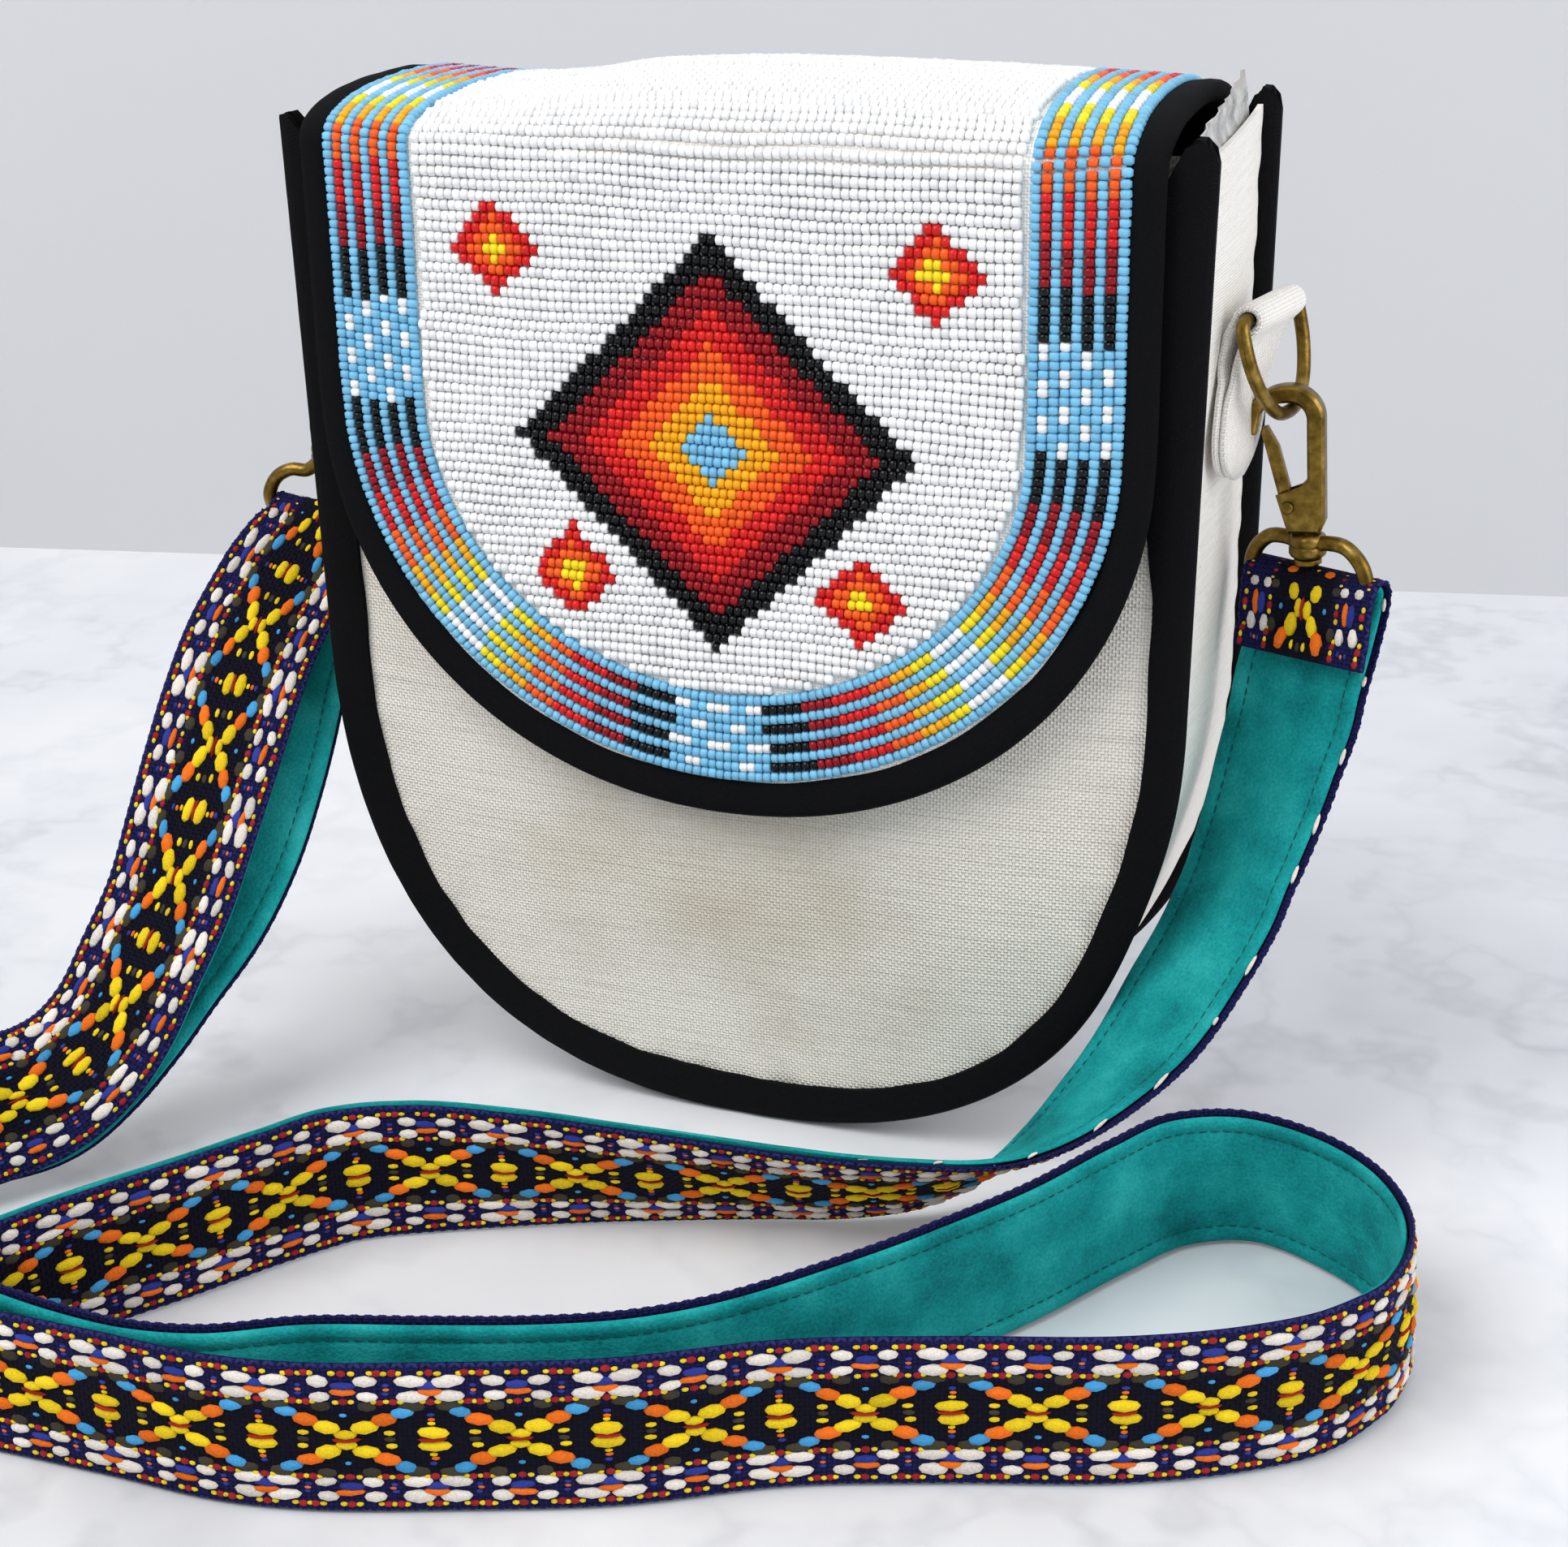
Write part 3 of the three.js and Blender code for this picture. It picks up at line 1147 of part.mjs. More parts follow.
for (const side of ["right", "left"]) {
  const place = new THREE.Group();
  place.position.y = SIDE_SHIFT;
  place.rotation.z = side === "right" ? 0 : Math.PI;
  bag.add(place);
  add(place, `tab_${side}`, sideTab(), gussetCanvas);
  add(place, `d_ring_${side}`, dRing(), brass);
  const hook = new THREE.Group();
  hook.position.set(HOOK_BASE.x, 0, HOOK_BASE.y);
  hook.rotation.y = -TILT;
  place.add(hook);
  add(hook, `hook_${side}`, hookBody(), brass);
  add(hook, `gate_${side}`, gate(), brass);
  add(hook, `gate_rivet_${side}`, gateRivet(), brass);
  add(hook, `gate_spring_${side}`, gateSpring(), steel);
  const loop = add(hook, `swivel_loop_${side}`, swivelLoop(), brass);
  loop.rotation.z = -degrees(LOOP_TURN[side]);
}

const half = STRAP_THICK / 2;
add(bag, "strap_band", strapLayer(STRAP_WIDTH, BAND_THICK - half, -half), woven);
add(bag, "strap_lining", strapLayer(LINING_WIDTH, half - LINING_THICK, half), teal);
add(bag, "slider", slider(), brass);

export default bag;
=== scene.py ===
"""A canvas shoulder bag with a beaded flap: its cloth, beads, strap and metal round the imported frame.

Lengths are millimetres until a mesh is made, and metres in Blender. The front faces -Y and +Z is up.
"""
import math

import bpy
import numpy as np
from mathutils import Matrix, Vector


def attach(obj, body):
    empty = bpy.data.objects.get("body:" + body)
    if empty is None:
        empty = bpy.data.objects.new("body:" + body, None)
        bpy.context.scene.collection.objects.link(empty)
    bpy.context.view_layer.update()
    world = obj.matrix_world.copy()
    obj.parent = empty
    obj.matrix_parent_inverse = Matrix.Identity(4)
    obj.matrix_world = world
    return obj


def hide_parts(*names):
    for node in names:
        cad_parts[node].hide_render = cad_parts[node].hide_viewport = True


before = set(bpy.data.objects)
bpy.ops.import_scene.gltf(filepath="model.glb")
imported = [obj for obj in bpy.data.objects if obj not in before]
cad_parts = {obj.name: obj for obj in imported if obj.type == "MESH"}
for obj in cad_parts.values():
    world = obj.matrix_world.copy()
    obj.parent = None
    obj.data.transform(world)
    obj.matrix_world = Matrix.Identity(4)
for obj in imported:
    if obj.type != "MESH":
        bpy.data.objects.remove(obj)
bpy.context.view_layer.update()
draw = np.random.default_rng(11)

MM = 0.001
PI = math.pi

# Camera: the photograph's view, found from the bag's own outline
CAMERA_PLACE = (230.3, -607.0, 360.3)
CAMERA_RIGHT = (0.9368, 0.3495, -0.0152)
CAMERA_UP = (-0.1228, 0.3693, 0.9212)
CAMERA_BACK = (0.3276, -0.8611, 0.3889)
SENSOR_WIDTH, LENS_SHARE = 36.0, 3200 / 1932

# Bag body
FACES = {"front": (-1, 3), "back": (1, 9)}  # its side of the bag, and the seed of its folds
BAG_HEIGHT = 264.0
BAG_SIDES = {  # half of its width at the waist and at the top, and how far it is pushed in over the foot
    ("front", "left"): (117.0, 118.7, 0.0), ("front", "right"): (115.5, 117.0, 2.2),
    ("back", "left"): (117.2, 117.0, 0.0), ("back", "right"): (118.0, 118.0, 0.0),
}
DENT_HEIGHT, DENT_SPREAD = 70.0, 28.0
ROUND_HEIGHT, ROUND_POWER = 130.0, 2.36
BINDING_TOPS = {"front": (262.8, 266.0), "back": (261.2, 268.0)}  # left and right
BINDING_SHARES = {  # of its width that it keeps, by the share of its way from the upper left end
    "front": ((0.5, 0.6, 0.84, 0.88), (1, 0.81, 0.81, 1.15)), "back": ((0, 1), (1, 1)),
}
BINDING_ENDS = {  # shares of its width from the outer edge, and how far its end drops there
    "left": ((0, 0.06, 0.16, 0.3, 0.45, 0.7, 1), (1.4, 0.6, 0.1, 0, 2, 6, 14)),
    "right": ((0, 0.06, 0.16, 0.3, 0.45, 0.7, 1), (5.5, 2.8, 1, 0.1, 0, 5, 14)),
}
BINDING_WIDTH, BINDING_HALF_THICK, BINDING_END_LENGTH = 11.5, 3.2, 22.0
PANEL_MIDDLE, PANEL_TOP, PANEL_EDGE = 33.8, 250.0, 2.1
FOOT_HEIGHT, FOOT_TAPER = 20.0, 0.12  # low down a panel is drawn in
BELLY_DEPTH, BELLY_HEIGHT, BELLY_SPREAD, BELLY_RISE = 3.6, 92.0, 95.0, 46.0
PUCKER_DEPTH, PUCKER_REACH, PUCKER_TOP, PUCKER_FADE = 0.7, 8.0, 150.0, 90.0
PUCKER_MIDDLE, PUCKER_RADIUS = 160.0, 105.0  # the puckers fan out from this height
GUSSET_INSET, GUSSET_HALF, GUSSET_TOP, GUSSET_SLOPE, GUSSET_CROWN = 4.0, 30.3, 261.5, 0.08, 1.2

# Flap, which hangs a little to the left of the bag's middle
FLAP_HALF, FLAP_BOTTOM, FLAP_STAND, FLAP_SHIFT = 110.0, 91.8, 39.8, -1.7
FLAP_ROUND_HEIGHT = 103.0
FLAP_EDGE, BORDER_EDGE = (108.3, 2.07), (110.8, 1.98)  # half widths, and powers of their curves
BEND_START, BEND_HEIGHT, BEND_POWER = 165.2, 13.8, 2.25
BEND_SHARES = (1, 0.9, 0.83, 0.74, 0.58, 0.42, 0.26, 0.17, 0.1, 0)  # where its edge has points over the top
FLAP_CROWN = [  # shares of its half width, and how much higher its top lies there
    (-1.1, -4.2), (-0.9, -5.3), (-0.7, -6.3), (-0.48, -4.4),
    (-0.24, -0.6), (0.11, 0.8), (0.5, 0.4), (1.1, -1.6),
]
FLAP_SWING = np.array((2.4, -6.5, 2.6))  # where its lowest point stands off the panel
FLAP_BACK_LENGTH = 24.0
FLAP_BINDING_WIDTH = 9.5

# Beads
BEAD_ROW, BEAD_PITCH, BEAD_DIAMETER, BEAD_LENGTH = 2.55, 2.12, 2.8, 2.14
BEAD_STAND = 1.95  # a bead's middle from the flap's middle surface
BEAD_STRAY = 0.05  # how far its place and directions stray
BORDER_ROWS, BORDER_START, FIELD_MARGIN = 9, 9.8, 33.5
# Ends of the border's colour runs from the flap's lowest point: checked, black to white, white to black
BORDER_RUNS = (13.0, 71.5, 133.0, 159.0, 222.0, 284.0, 300.0, 340.0)
CHECKED_RUNS, RISING_RUNS = (0, 3, 6), (1, 4, 7)
RUN_SHARES = (0.2, 0.36, 0.54, 0.68, 0.8, 0.91)
RUN_COLOURS = ("black", "dark_red", "red", "orange", "amber", "yellow", "white")
MOTIF_HALF, MOTIF_HEIGHT = 52.0, 188.0
MOTIF_COLOURS = ("black", "dark_red", "red", "orange", "amber", "blue")
CORNER_HALF, CORNER_STEP = 12.0, 4.001
CORNER_COLOURS = ("yellow", "orange", "red")
CORNER_MIDDLES = [(56.0, 234.0), (-56.0, 234.0), (38.0, 153.0), (-38.0, 153.0)]
BEAD_FIELDS = {  # the solids that each colour of beads stands for
    "white": ["bead_ground"], "blue": ["bead_border", "bead_diamond_6"], "black": ["bead_diamond_1"],
    "dark_red": ["bead_diamond_2"], "red": ["bead_diamond_3", "bead_corner_1", "bead_corner_2"],
    "orange": ["bead_diamond_4", "bead_corner_3", "bead_corner_4"], "amber": ["bead_diamond_5"],
    "yellow": [],
}

# A tan patch on the canvas, in its flat
STAIN_MIDDLE, STAIN_REACH = (-6.0, 70.0, 0.0), (72.0, 44.0, 1.0)

# Side tabs, rings and loops, drawn for the right side
SIDE_SHIFT = 3.0
TAB_HALF, TAB_LAYER, TAB_FOOT, TAB_BEND, TAB_BACK, TAB_SKEW = 13.8, 1.8, 182.0, 206.0, 114.5, 0.21
TAB_SLANT = -9.5  # the tongue's foot lies this far nearer the front than the ring
TAB_PROFILE = [(1, 0.35), (0.97, 0.9), (0.6, 1), (0, 1), (-0.6, 1), (-0.97, 0.9), (-1, 0.35)]
FILM_FOOT, FILM_BACK = 256.3, 112.6
FILM_TOP = ((-1, -0.6, -0.1, 0.3, 0.55, 0.68, 0.8), (8, 11.5, 13.5, 15.5, 18, 15, 5))
RING_BAR, RING_WIRE, RING_DROP, RING_LEAN = (123.13, 220.56), 3.5, 24.6, 0.26
RING_BOW = [  # shares of its half width and of its drop
    (0, 0), (0.86, 0), (0.98, -0.05), (1, -0.18), (0.95, -0.45), (0.72, -0.76), (0.35, -0.96), (0, -1),
]
RING_PLAY = 0.16  # the wire is drawn this much thinner, so the hook turns free in it
HOOK_BASE, HOOK_TILT = (135.5, 167.0), math.radians(4)
LOOP_WIRE = 3.8
LOOP_HALF = {"right": 16.6, "left": 18.0}
LOOP_BAR_DROP = {"right": 14.4, "left": 22.5}
LOOP_TURN = {"right": math.radians(24), "left": math.radians(-5)}
LOOP_SHOULDERS = {  # shares of its half width, and heights over its top
    "right": ((0.36, 1.2), (0.66, 0.7), (0.91, -3.0), (1.0, -7.6)),
    "left": ((0.18, -3.2), (0.36, -5.8), (0.62, -6.2), (0.87, -9.0), (1.0, -14.0)),
}
LOOP_FOOT = ((0.97, 2.2), (0.91, 0.35), (0.84, 0), (0.76, 0), (0, 0))  # the same, over its bar
COLLAR_HEIGHT, COLLAR_GAP = 6.1, 0.3
COLLAR_PROFILE = [  # radii, and shares of its height
    (2.1, 0.5), (3.4, 0.5), (4.2, 0.42), (4.6, 0.3), (4.6, 0.08), (4.3, 0),
    (4.6, -0.08), (4.6, -0.3), (4.2, -0.42), (3.4, -0.5), (2.1, -0.5),
]
# Solids that keep their own shape, their bodies and the bevel of their edges
METAL_COPIES = (("hook", "hook", 0.3), ("gate", "gate", 0.25), ("gate_rivet", "hook", 0.15))

# The strap's middle and the direction of its braided edge, from the sewn tail at the right hook
# down, round the floor, through the slider, up to the left hook and back to the slider; the last
# number is the share of its width that it keeps where it gathers in a loop.
STRAP_STATIONS = [
    (136.6, -4.4, 137, 0.9, -0.41, 0.08, 1), (136.9, -2.9, 144.3, 0.91, -0.41, 0.04, 1),
    (137, -1.2, 152, 0.91, -0.41, 0.02, 1), (137.4, 0.6, 155.8, 0.91, -0.41, 0.02, 1),
    (138.4, 3.4, 157.1, 0.91, -0.41, 0.02, 1), (139.4, 6, 155.4, 0.91, -0.41, 0.02, 1),
    (139.6, 6.6, 151.6, 0.91, -0.41, 0.02, 1), (138.4, 3.2, 140.5, 0.91, -0.41, 0.06, 1),
    (136.5, -0.2, 129, 0.91, -0.39, 0.12, 1), (135.6, -2.3, 121, 0.91, -0.38, 0.18, 1),
    (133.5, -5.5, 110.5, 0.88, -0.41, 0.23, 1), (131.3, -9.5, 99, 0.86, -0.43, 0.28, 1),
    (128.3, -16, 86, 0.84, -0.45, 0.31, 1), (124.5, -25, 73, 0.84, -0.45, 0.31, 1),
    (118, -36, 59, 0.83, -0.47, 0.3, 1), (111, -46, 46.5, 0.77, -0.57, 0.29, 1),
    (102, -56.5, 36, 0.65, -0.68, 0.34, 1), (91.5, -66.5, 27, 0.51, -0.73, 0.45, 1),
    (80, -74.5, 21, 0.4, -0.69, 0.6, 1), (64, -82, 17.6, 0.33, -0.58, 0.74, 1),
    (46, -88, 16.7, 0.27, -0.54, 0.8, 1), (31, -91.8, 16.9, 0.25, -0.5, 0.83, 1),
    (13, -96.7, 17.6, 0.27, -0.41, 0.87, 1), (-9, -103, 18.5, 0.24, -0.3, 0.92, 1),
    (-30, -109.5, 19.3, 0.15, -0.18, 0.97, 1), (-54, -117.5, 19.4, 0.03, -0.04, 1, 1),
    (-71, -127, 19.4, 0, 0, 1, 1), (-83.5, -143, 19.4, 0, 0, 1, 1),
    (-95, -160, 19.4, 0, 0, 1, 1), (-106, -175, 19.4, 0, 0, 1, 1),
    (-116, -190, 19.4, 0, 0, 1, 1), (-121.5, -201, 19.4, 0, 0, 1, 1),
    (-121, -210.5, 19.4, 0, 0, 1, 1), (-114.5, -216.5, 19.4, 0, 0, 1, 1),
    (-104, -218.5, 19.4, 0, 0, 1, 1), (-88, -220.5, 19.4, 0, 0, 1, 1),
    (-70, -220.8, 19.4, 0, 0, 1, 1), (-53, -217, 19.4, 0, 0, 1, 1),
    (-34, -207, 19.4, 0, 0, 1, 1), (-9, -198.5, 19.4, 0, 0, 1, 1),
    (12, -191, 19.4, 0, 0, 1, 1), (31, -182, 19.4, 0, 0, 1, 1),
    (47, -170, 19.4, 0, 0, 1, 1), (66, -149, 19.4, 0, 0, 1, 1),
    (83, -127, 19.4, 0, 0, 1, 1), (99, -104, 19.4, -0.03, -0.02, 1, 1),
    (113, -79, 19.4, -0.08, -0.05, 1, 1), (124.5, -62, 19.4, -0.12, -0.08, 0.99, 1),
    (141, -54.5, 19.3, -0.1, -0.08, 0.99, 1), (160, -60, 19.3, -0.09, -0.02, 0.99, 1),
    (176, -73, 19.3, -0.1, 0, 0.99, 1), (184, -91, 19.4, -0.06, 0, 1, 1),
    (183, -112, 19.4, 0, 0, 1, 1), (173, -130, 19.4, 0, 0, 1, 1),
    (157, -143, 19.4, 0, 0, 1, 1), (133, -155.5, 19.4, 0, 0, 1, 1),
    (97, -168, 19.4, 0, 0, 1, 1), (66, -180, 19.4, 0, 0, 1, 1),
    (34, -198, 19.4, 0, 0, 1, 1), (3, -210.5, 19.4, 0, 0, 1, 1),
    (-27, -221, 19.4, 0, 0, 1, 1), (-48, -225, 19.4, 0, 0, 1, 1),
    (-75, -225.5, 19.4, 0, 0, 1, 1), (-104, -226.5, 19.4, 0, 0, 1, 1),
    (-138, -228.5, 19.4, 0, 0, 1, 1), (-172, -230, 19.4, 0, 0, 1, 1),
    (-198, -225, 19.8, -0.03, 0.01, 1, 1), (-211.5, -213.5, 21, -0.08, 0.03, 1, 1),
    (-212, -201, 22.6, -0.13, 0.04, 0.99, 1), (-206.6, -188.9, 22.5, -0.15, 0.05, 0.99, 1),
    (-201.6, -181.2, 22.9, -0.15, 0.05, 0.99, 1), (-200.5, -178.8, 22.9, -0.15, 0.05, 0.99, 1),
    (-202.5, -173.2, 22.3, -0.15, 0.05, 0.99, 1), (-205, -167.4, 21.7, -0.15, 0.05, 0.99, 1),
    (-204.4, -163.6, 21.6, -0.15, 0.05, 0.99, 1), (-202.3, -160.3, 21.7, -0.15, 0.05, 0.99, 1),
    (-199.1, -158.1, 22.1, -0.15, 0.05, 0.99, 1), (-192.9, -157.9, 23, -0.15, 0.05, 0.99, 1),
    (-187, -157.3, 23.9, -0.15, 0.05, 0.99, 1), (-185.3, -155.4, 24, -0.15, 0.05, 0.99, 1),
    (-180.5, -147.5, 24.4, -0.15, 0.05, 0.99, 1), (-174.4, -131.1, 20.1, -0.5, 0.12, 0.86, 1),
    (-165.5, -119, 19.7, -0.76, 0.15, 0.63, 1), (-158.9, -108.1, 24.4, -0.89, 0.16, 0.43, 1),
    (-152.6, -97.3, 32.6, -0.95, 0.14, 0.28, 1), (-147, -86.3, 43, -0.97, 0.11, 0.22, 1),
    (-140.9, -72.7, 55.2, -0.98, 0.07, 0.2, 1), (-138.2, -58.7, 69.3, -0.97, 0.02, 0.25, 1),
    (-138.1, -45.9, 83.1, -0.96, -0.03, 0.28, 1), (-138.8, -35.4, 94.7, -0.96, -0.07, 0.27, 1),
    (-140.4, -22.7, 108.8, -0.96, -0.09, 0.26, 1), (-139.7, -8.1, 125.7, -0.97, -0.09, 0.22, 1),
    (-137.2, 0.6, 137.8, -0.99, -0.09, 0.07, 0.86), (-137.2, 5.5, 143, -0.99, -0.09, 0.07, 0.86),
    (-137.1, 6.7, 144.5, -0.99, -0.09, 0.07, 0.86), (-136.8, 5.7, 147.1, -0.99, -0.09, 0.07, 0.86),
    (-136.5, 3.1, 148.2, -0.99, -0.09, 0.07, 0.86), (-136.9, 0.5, 147.2, -0.99, -0.09, 0.07, 0.86),
    (-137.6, -4.6, 143.3, -0.99, -0.09, 0.07, 0.88), (-142.4, -14, 132, -0.97, -0.09, 0.22, 1),
    (-144.2, -31, 119, -0.96, -0.09, 0.26, 1), (-144.3, -45, 106, -0.96, -0.07, 0.27, 1),
    (-144.2, -56, 94, -0.96, -0.03, 0.28, 1), (-144.8, -68, 79, -0.97, 0.02, 0.25, 1),
    (-146, -80, 63, -0.98, 0.07, 0.2, 1), (-149, -92, 49, -0.97, 0.11, 0.22, 1),
    (-152, -102, 37, -0.95, 0.14, 0.28, 1), (-156.5, -112, 28.5, -0.89, 0.16, 0.43, 1),
    (-162.5, -122, 24, -0.76, 0.15, 0.63, 1), (-170.5, -134, 22.8, -0.5, 0.12, 0.86, 1),
    (-175.8, -148.7, 25.1, -0.15, 0.05, 0.99, 1), (-180.9, -157.2, 24.8, -0.15, 0.05, 0.99, 1),
    (-187.4, -163.1, 24.1, -0.15, 0.05, 0.99, 1), (-193.7, -168.1, 23.4, -0.15, 0.05, 0.99, 1),
    (-196.2, -169.9, 23.1, -0.15, 0.05, 0.99, 1), (-199.1, -169.4, 22.6, -0.15, 0.05, 0.99, 1),
    (-200.9, -166.9, 22.3, -0.15, 0.05, 0.99, 1), (-200.3, -163.9, 22.2, -0.15, 0.05, 0.99, 1),
]
STRAP_STEP = 1.25
STRAP_REPEAT, REPEAT_DRAWN = 36.7, 40  # the pattern's length, and the length that it is drawn at
PATTERN_START = 12.2
SLIDER_MIDDLE, SLIDER_REACH = (-197, -166, 22.8), 26
TAIL_THICKNESS = ((0, 4.2, 5.4, 6.6, 8), (1.5, 1.5, 0.6, 0.6, 1))  # by the way along
DASHES_END = 330.0  # the strand at the right hook shows its floats' ends at the braided edge
LINING_SHIFT = ((215, 245, 450, 480), (0, 1.7, 1.7, 0))  # toward the braided edge, by the way along
BAND_MIDDLE = 19.5  # from the start of its section, on its map
BAND_SECTION = [
    (18.9, -0.5), (18.5, -1.05), (17.3, -1.2), (13, -1.25), (9, -1.25), (4.5, -1.25), (0, -1.25),
    (-4.5, -1.25), (-9, -1.25), (-13, -1.25), (-17.3, -1.2), (-18.5, -1.05), (-18.9, -0.5),
    (-18.5, 0.05), (0, 0.15), (18.5, 0.05),
]
LINING_SECTION = [
    (17.5, 0.75), (17.4, 1.35), (16.7, 1.85), (15.6, 1.95), (14.4, 1.75), (13.7, 1.3), (13, 1.5), (11, 1.72),
    (6, 1.75), (0, 1.75), (-6, 1.75), (-11, 1.72), (-13.2, 1.5), (-13.9, 1.3), (-14.6, 1.75), (-16, 1.95),
    (-17.4, 1.85), (-18.3, 1.35), (-18.4, 0.75), (-17.8, 0.4), (0, 0.4), (16.9, 0.4),
]

# Lights: place, aim and size in metres, power and colour
LIGHTS = {
    "key": ((-0.75, -0.95, 1.45), (0, -0.05, 0.1), 1.2, 22.5, (1.0, 0.985, 0.96)),
    "fill": ((1.4, -0.35, 0.75), (0.05, 0, 0.12), 1.2, 12, (0.98, 0.99, 1.0)),
    "sky": ((0.0, -0.2, 1.9), (0, -0.1, 0), 2.2, 6, (1.0, 1.0, 1.0)),
}


def colour(red, green, blue):
    """A colour in display values from 0 to 255, as linear light."""
    shares = [c / 255 for c in (red, green, blue)]
    return (*[s / 12.92 if s <= 0.04045 else ((s + 0.055) / 1.055) ** 2.4 for s in shares], 1.0)


def scaled(tint, share, lift=0.0, most=1.0):
    """A colour made darker or lighter."""
    return (*[min(most, c * share + lift) for c in tint[:3]], 1.0)


# Curves

def unit(vectors):
    return vectors / np.maximum(np.linalg.norm(vectors, axis=-1, keepdims=True), 1e-9)


def smooth_path(points, steps, closed=False):
    """A smooth curve through the points, with the same number of steps between each two."""
    p = np.asarray(points, float)
    ends = (p[-1:], p[:2]) if closed else (2 * p[:1] - p[1:2], 2 * p[-1:] - p[-2:-1])
    p = np.vstack([ends[0], p, ends[1]])
    t = np.linspace(0, 1, steps, endpoint=False)[:, None]
    runs = []
    for a, b, c, d in zip(p, p[1:], p[2:], p[3:]):
        gap = [np.linalg.norm(v - u) ** 0.5 for u, v in ((a, b), (b, c), (c, d))]
        middle = gap[1] if gap[1] > 1e-4 else 1.0
        first = gap[0] if gap[0] > 1e-4 else middle
        last = gap[2] if gap[2] > 1e-4 else middle
        start = ((b - a) / first - (c - a) / (first + middle) + (c - b) / middle) * middle
        end = ((c - b) / middle - (d - b) / (middle + last) + (d - c) / last) * middle
        square, cube = 3 * (c - b) - 2 * start - end, 2 * (b - c) + start + end
        runs.append(b + start * t + square * t**2 + cube * t**3)
    if not closed:
        runs.append(p[-2:-1])
    return np.vstack(runs)


def ways(points):
    """The way along a row of points to each of them."""
    return np.concatenate([[0], np.cumsum(np.linalg.norm(np.diff(points, axis=0), axis=1))])


def mean_ways(rows):
    """The mean way from row to row of a grid of points."""
    return np.concatenate([[0], np.cumsum(np.linalg.norm(np.diff(rows, axis=0), axis=2).mean(1))])


def on_path(points, way, at):
    """The places at some ways along a row of points."""
    return np.stack([np.interp(at, way, column) for column in points.T], axis=1)


def evenly(points, step):
    """Points along a path, the given step apart, with their ways."""
    way = ways(points)
    at = np.arange(0, way[-1], step)
    return on_path(points, way, at), at


def inward(outline):
    """Inward directions of an outline that keeps its inside on its left."""
    along = unit(np.gradient(outline, axis=0))
    return np.stack([-along[:, 1], along[:, 0]], axis=1)


def waves(way, lengths, seed):
    """Soft irregular waves along a way, about one high."""
    phase = np.random.default_rng(seed).uniform(0, 2 * PI, len(lengths))
    return sum(np.sin(2 * PI * way / n + p) for n, p in zip(lengths, phase)) / len(lengths)


# Meshes

def new_object(name, data):
    """A new object in the scene."""
    made = bpy.data.objects.new(name, data)
    bpy.context.scene.collection.objects.link(made)
    return made


def pick(piece):
    """Makes one object the only selected and active one."""
    bpy.ops.object.select_all(action="DESELECT")
    piece.select_set(True)
    bpy.context.view_layer.objects.active = piece


def soften(piece, angle=50):
    pick(piece)
    bpy.ops.object.shade_smooth_by_angle(angle=math.radians(angle))


def apply(piece, kind, **settings):
    """Adds a modifier with its settings and applies it."""
    pick(piece)
    modifier = piece.modifiers.new(kind.lower(), kind)
    for key, value in settings.items():
        setattr(modifier, key, value)
    bpy.ops.object.modifier_apply(modifier=modifier.name)


def mesh_piece(name, points, faces, uvs):
    """A new object from points and a map in millimetres."""
    mesh = bpy.data.meshes.new(name)
    mesh.from_pydata((points * MM).tolist(), [], faces)
    layer = mesh.uv_layers.new(name="cloth")
    layer.data.foreach_set("uv", np.asarray(uvs, np.float32).ravel())
    mesh.update()
    return new_object(name, mesh)


def sheet_piece(name, grid, thickness, uv=None):
    """A sheet of cloth from a grid of points, given its thickness to both sides."""
    rows, columns = grid.shape[:2]
    if uv is None:
        along, across = mean_ways(grid), mean_ways(grid.swapaxes(0, 1))
        uv = np.stack(np.broadcast_arrays(across[None, :], along[:, None]), axis=2)
    starts = [i * columns + j for i in range(rows - 1) for j in range(columns - 1)]
    faces = [(k, k + 1, k + columns + 1, k + columns) for k in starts]
    piece = mesh_piece(name, grid.reshape(-1, 3), faces, uv.reshape(-1, 2)[np.array(faces)])
    apply(piece, "SOLIDIFY", thickness=thickness * MM, offset=0.0, use_even_offset=True)
    soften(piece)
    return piece


def inside_out(points, faces):
    """Whether the faces of a closed mesh point inward."""
    fan = np.array([(f[0], f[k], f[k + 1]) for f in faces for k in range(1, len(f) - 1)])
    a, b, c = points[fan.T]
    return np.einsum("ij,ij->", a, np.cross(b, c)) < 0


def swept_piece(name, rings, closed=False):
    """A tube from rings of points; its map runs along it and round it, in millimetres."""
    count, size = rings.shape[:2]
    points = rings.reshape(-1, 3)
    along = mean_ways(np.concatenate([rings, rings[:1]]))
    around = ways(np.concatenate([rings[count // 2], rings[count // 2][:1]]))
    faces, corners = [], []
    for i in range(count if closed else count - 1):
        n = (i + 1) % count
        for j in range(size):
            k = (j + 1) % size
            faces.append((i * size + j, i * size + k, n * size + k, n * size + j))
            ends = ((i, j), (i, j + 1), (i + 1, j + 1), (i + 1, j))
            corners.append([(along[a], around[b]) for a, b in ends])
    if not closed:
        last = count - 1
        faces.append(tuple(range(size))[::-1])
        faces.append(tuple(range(last * size, count * size)))
        corners.append([(0, turn) for turn in around[:-1]][::-1])
        corners.append([(along[last], turn) for turn in around[:-1]])
    if inside_out(points, faces):
        faces = [face[::-1] for face in faces]
        corners = [corner[::-1] for corner in corners]
    piece = mesh_piece(name, points, faces, [place for corner in corners for place in corner])
    soften(piece)
    return piece


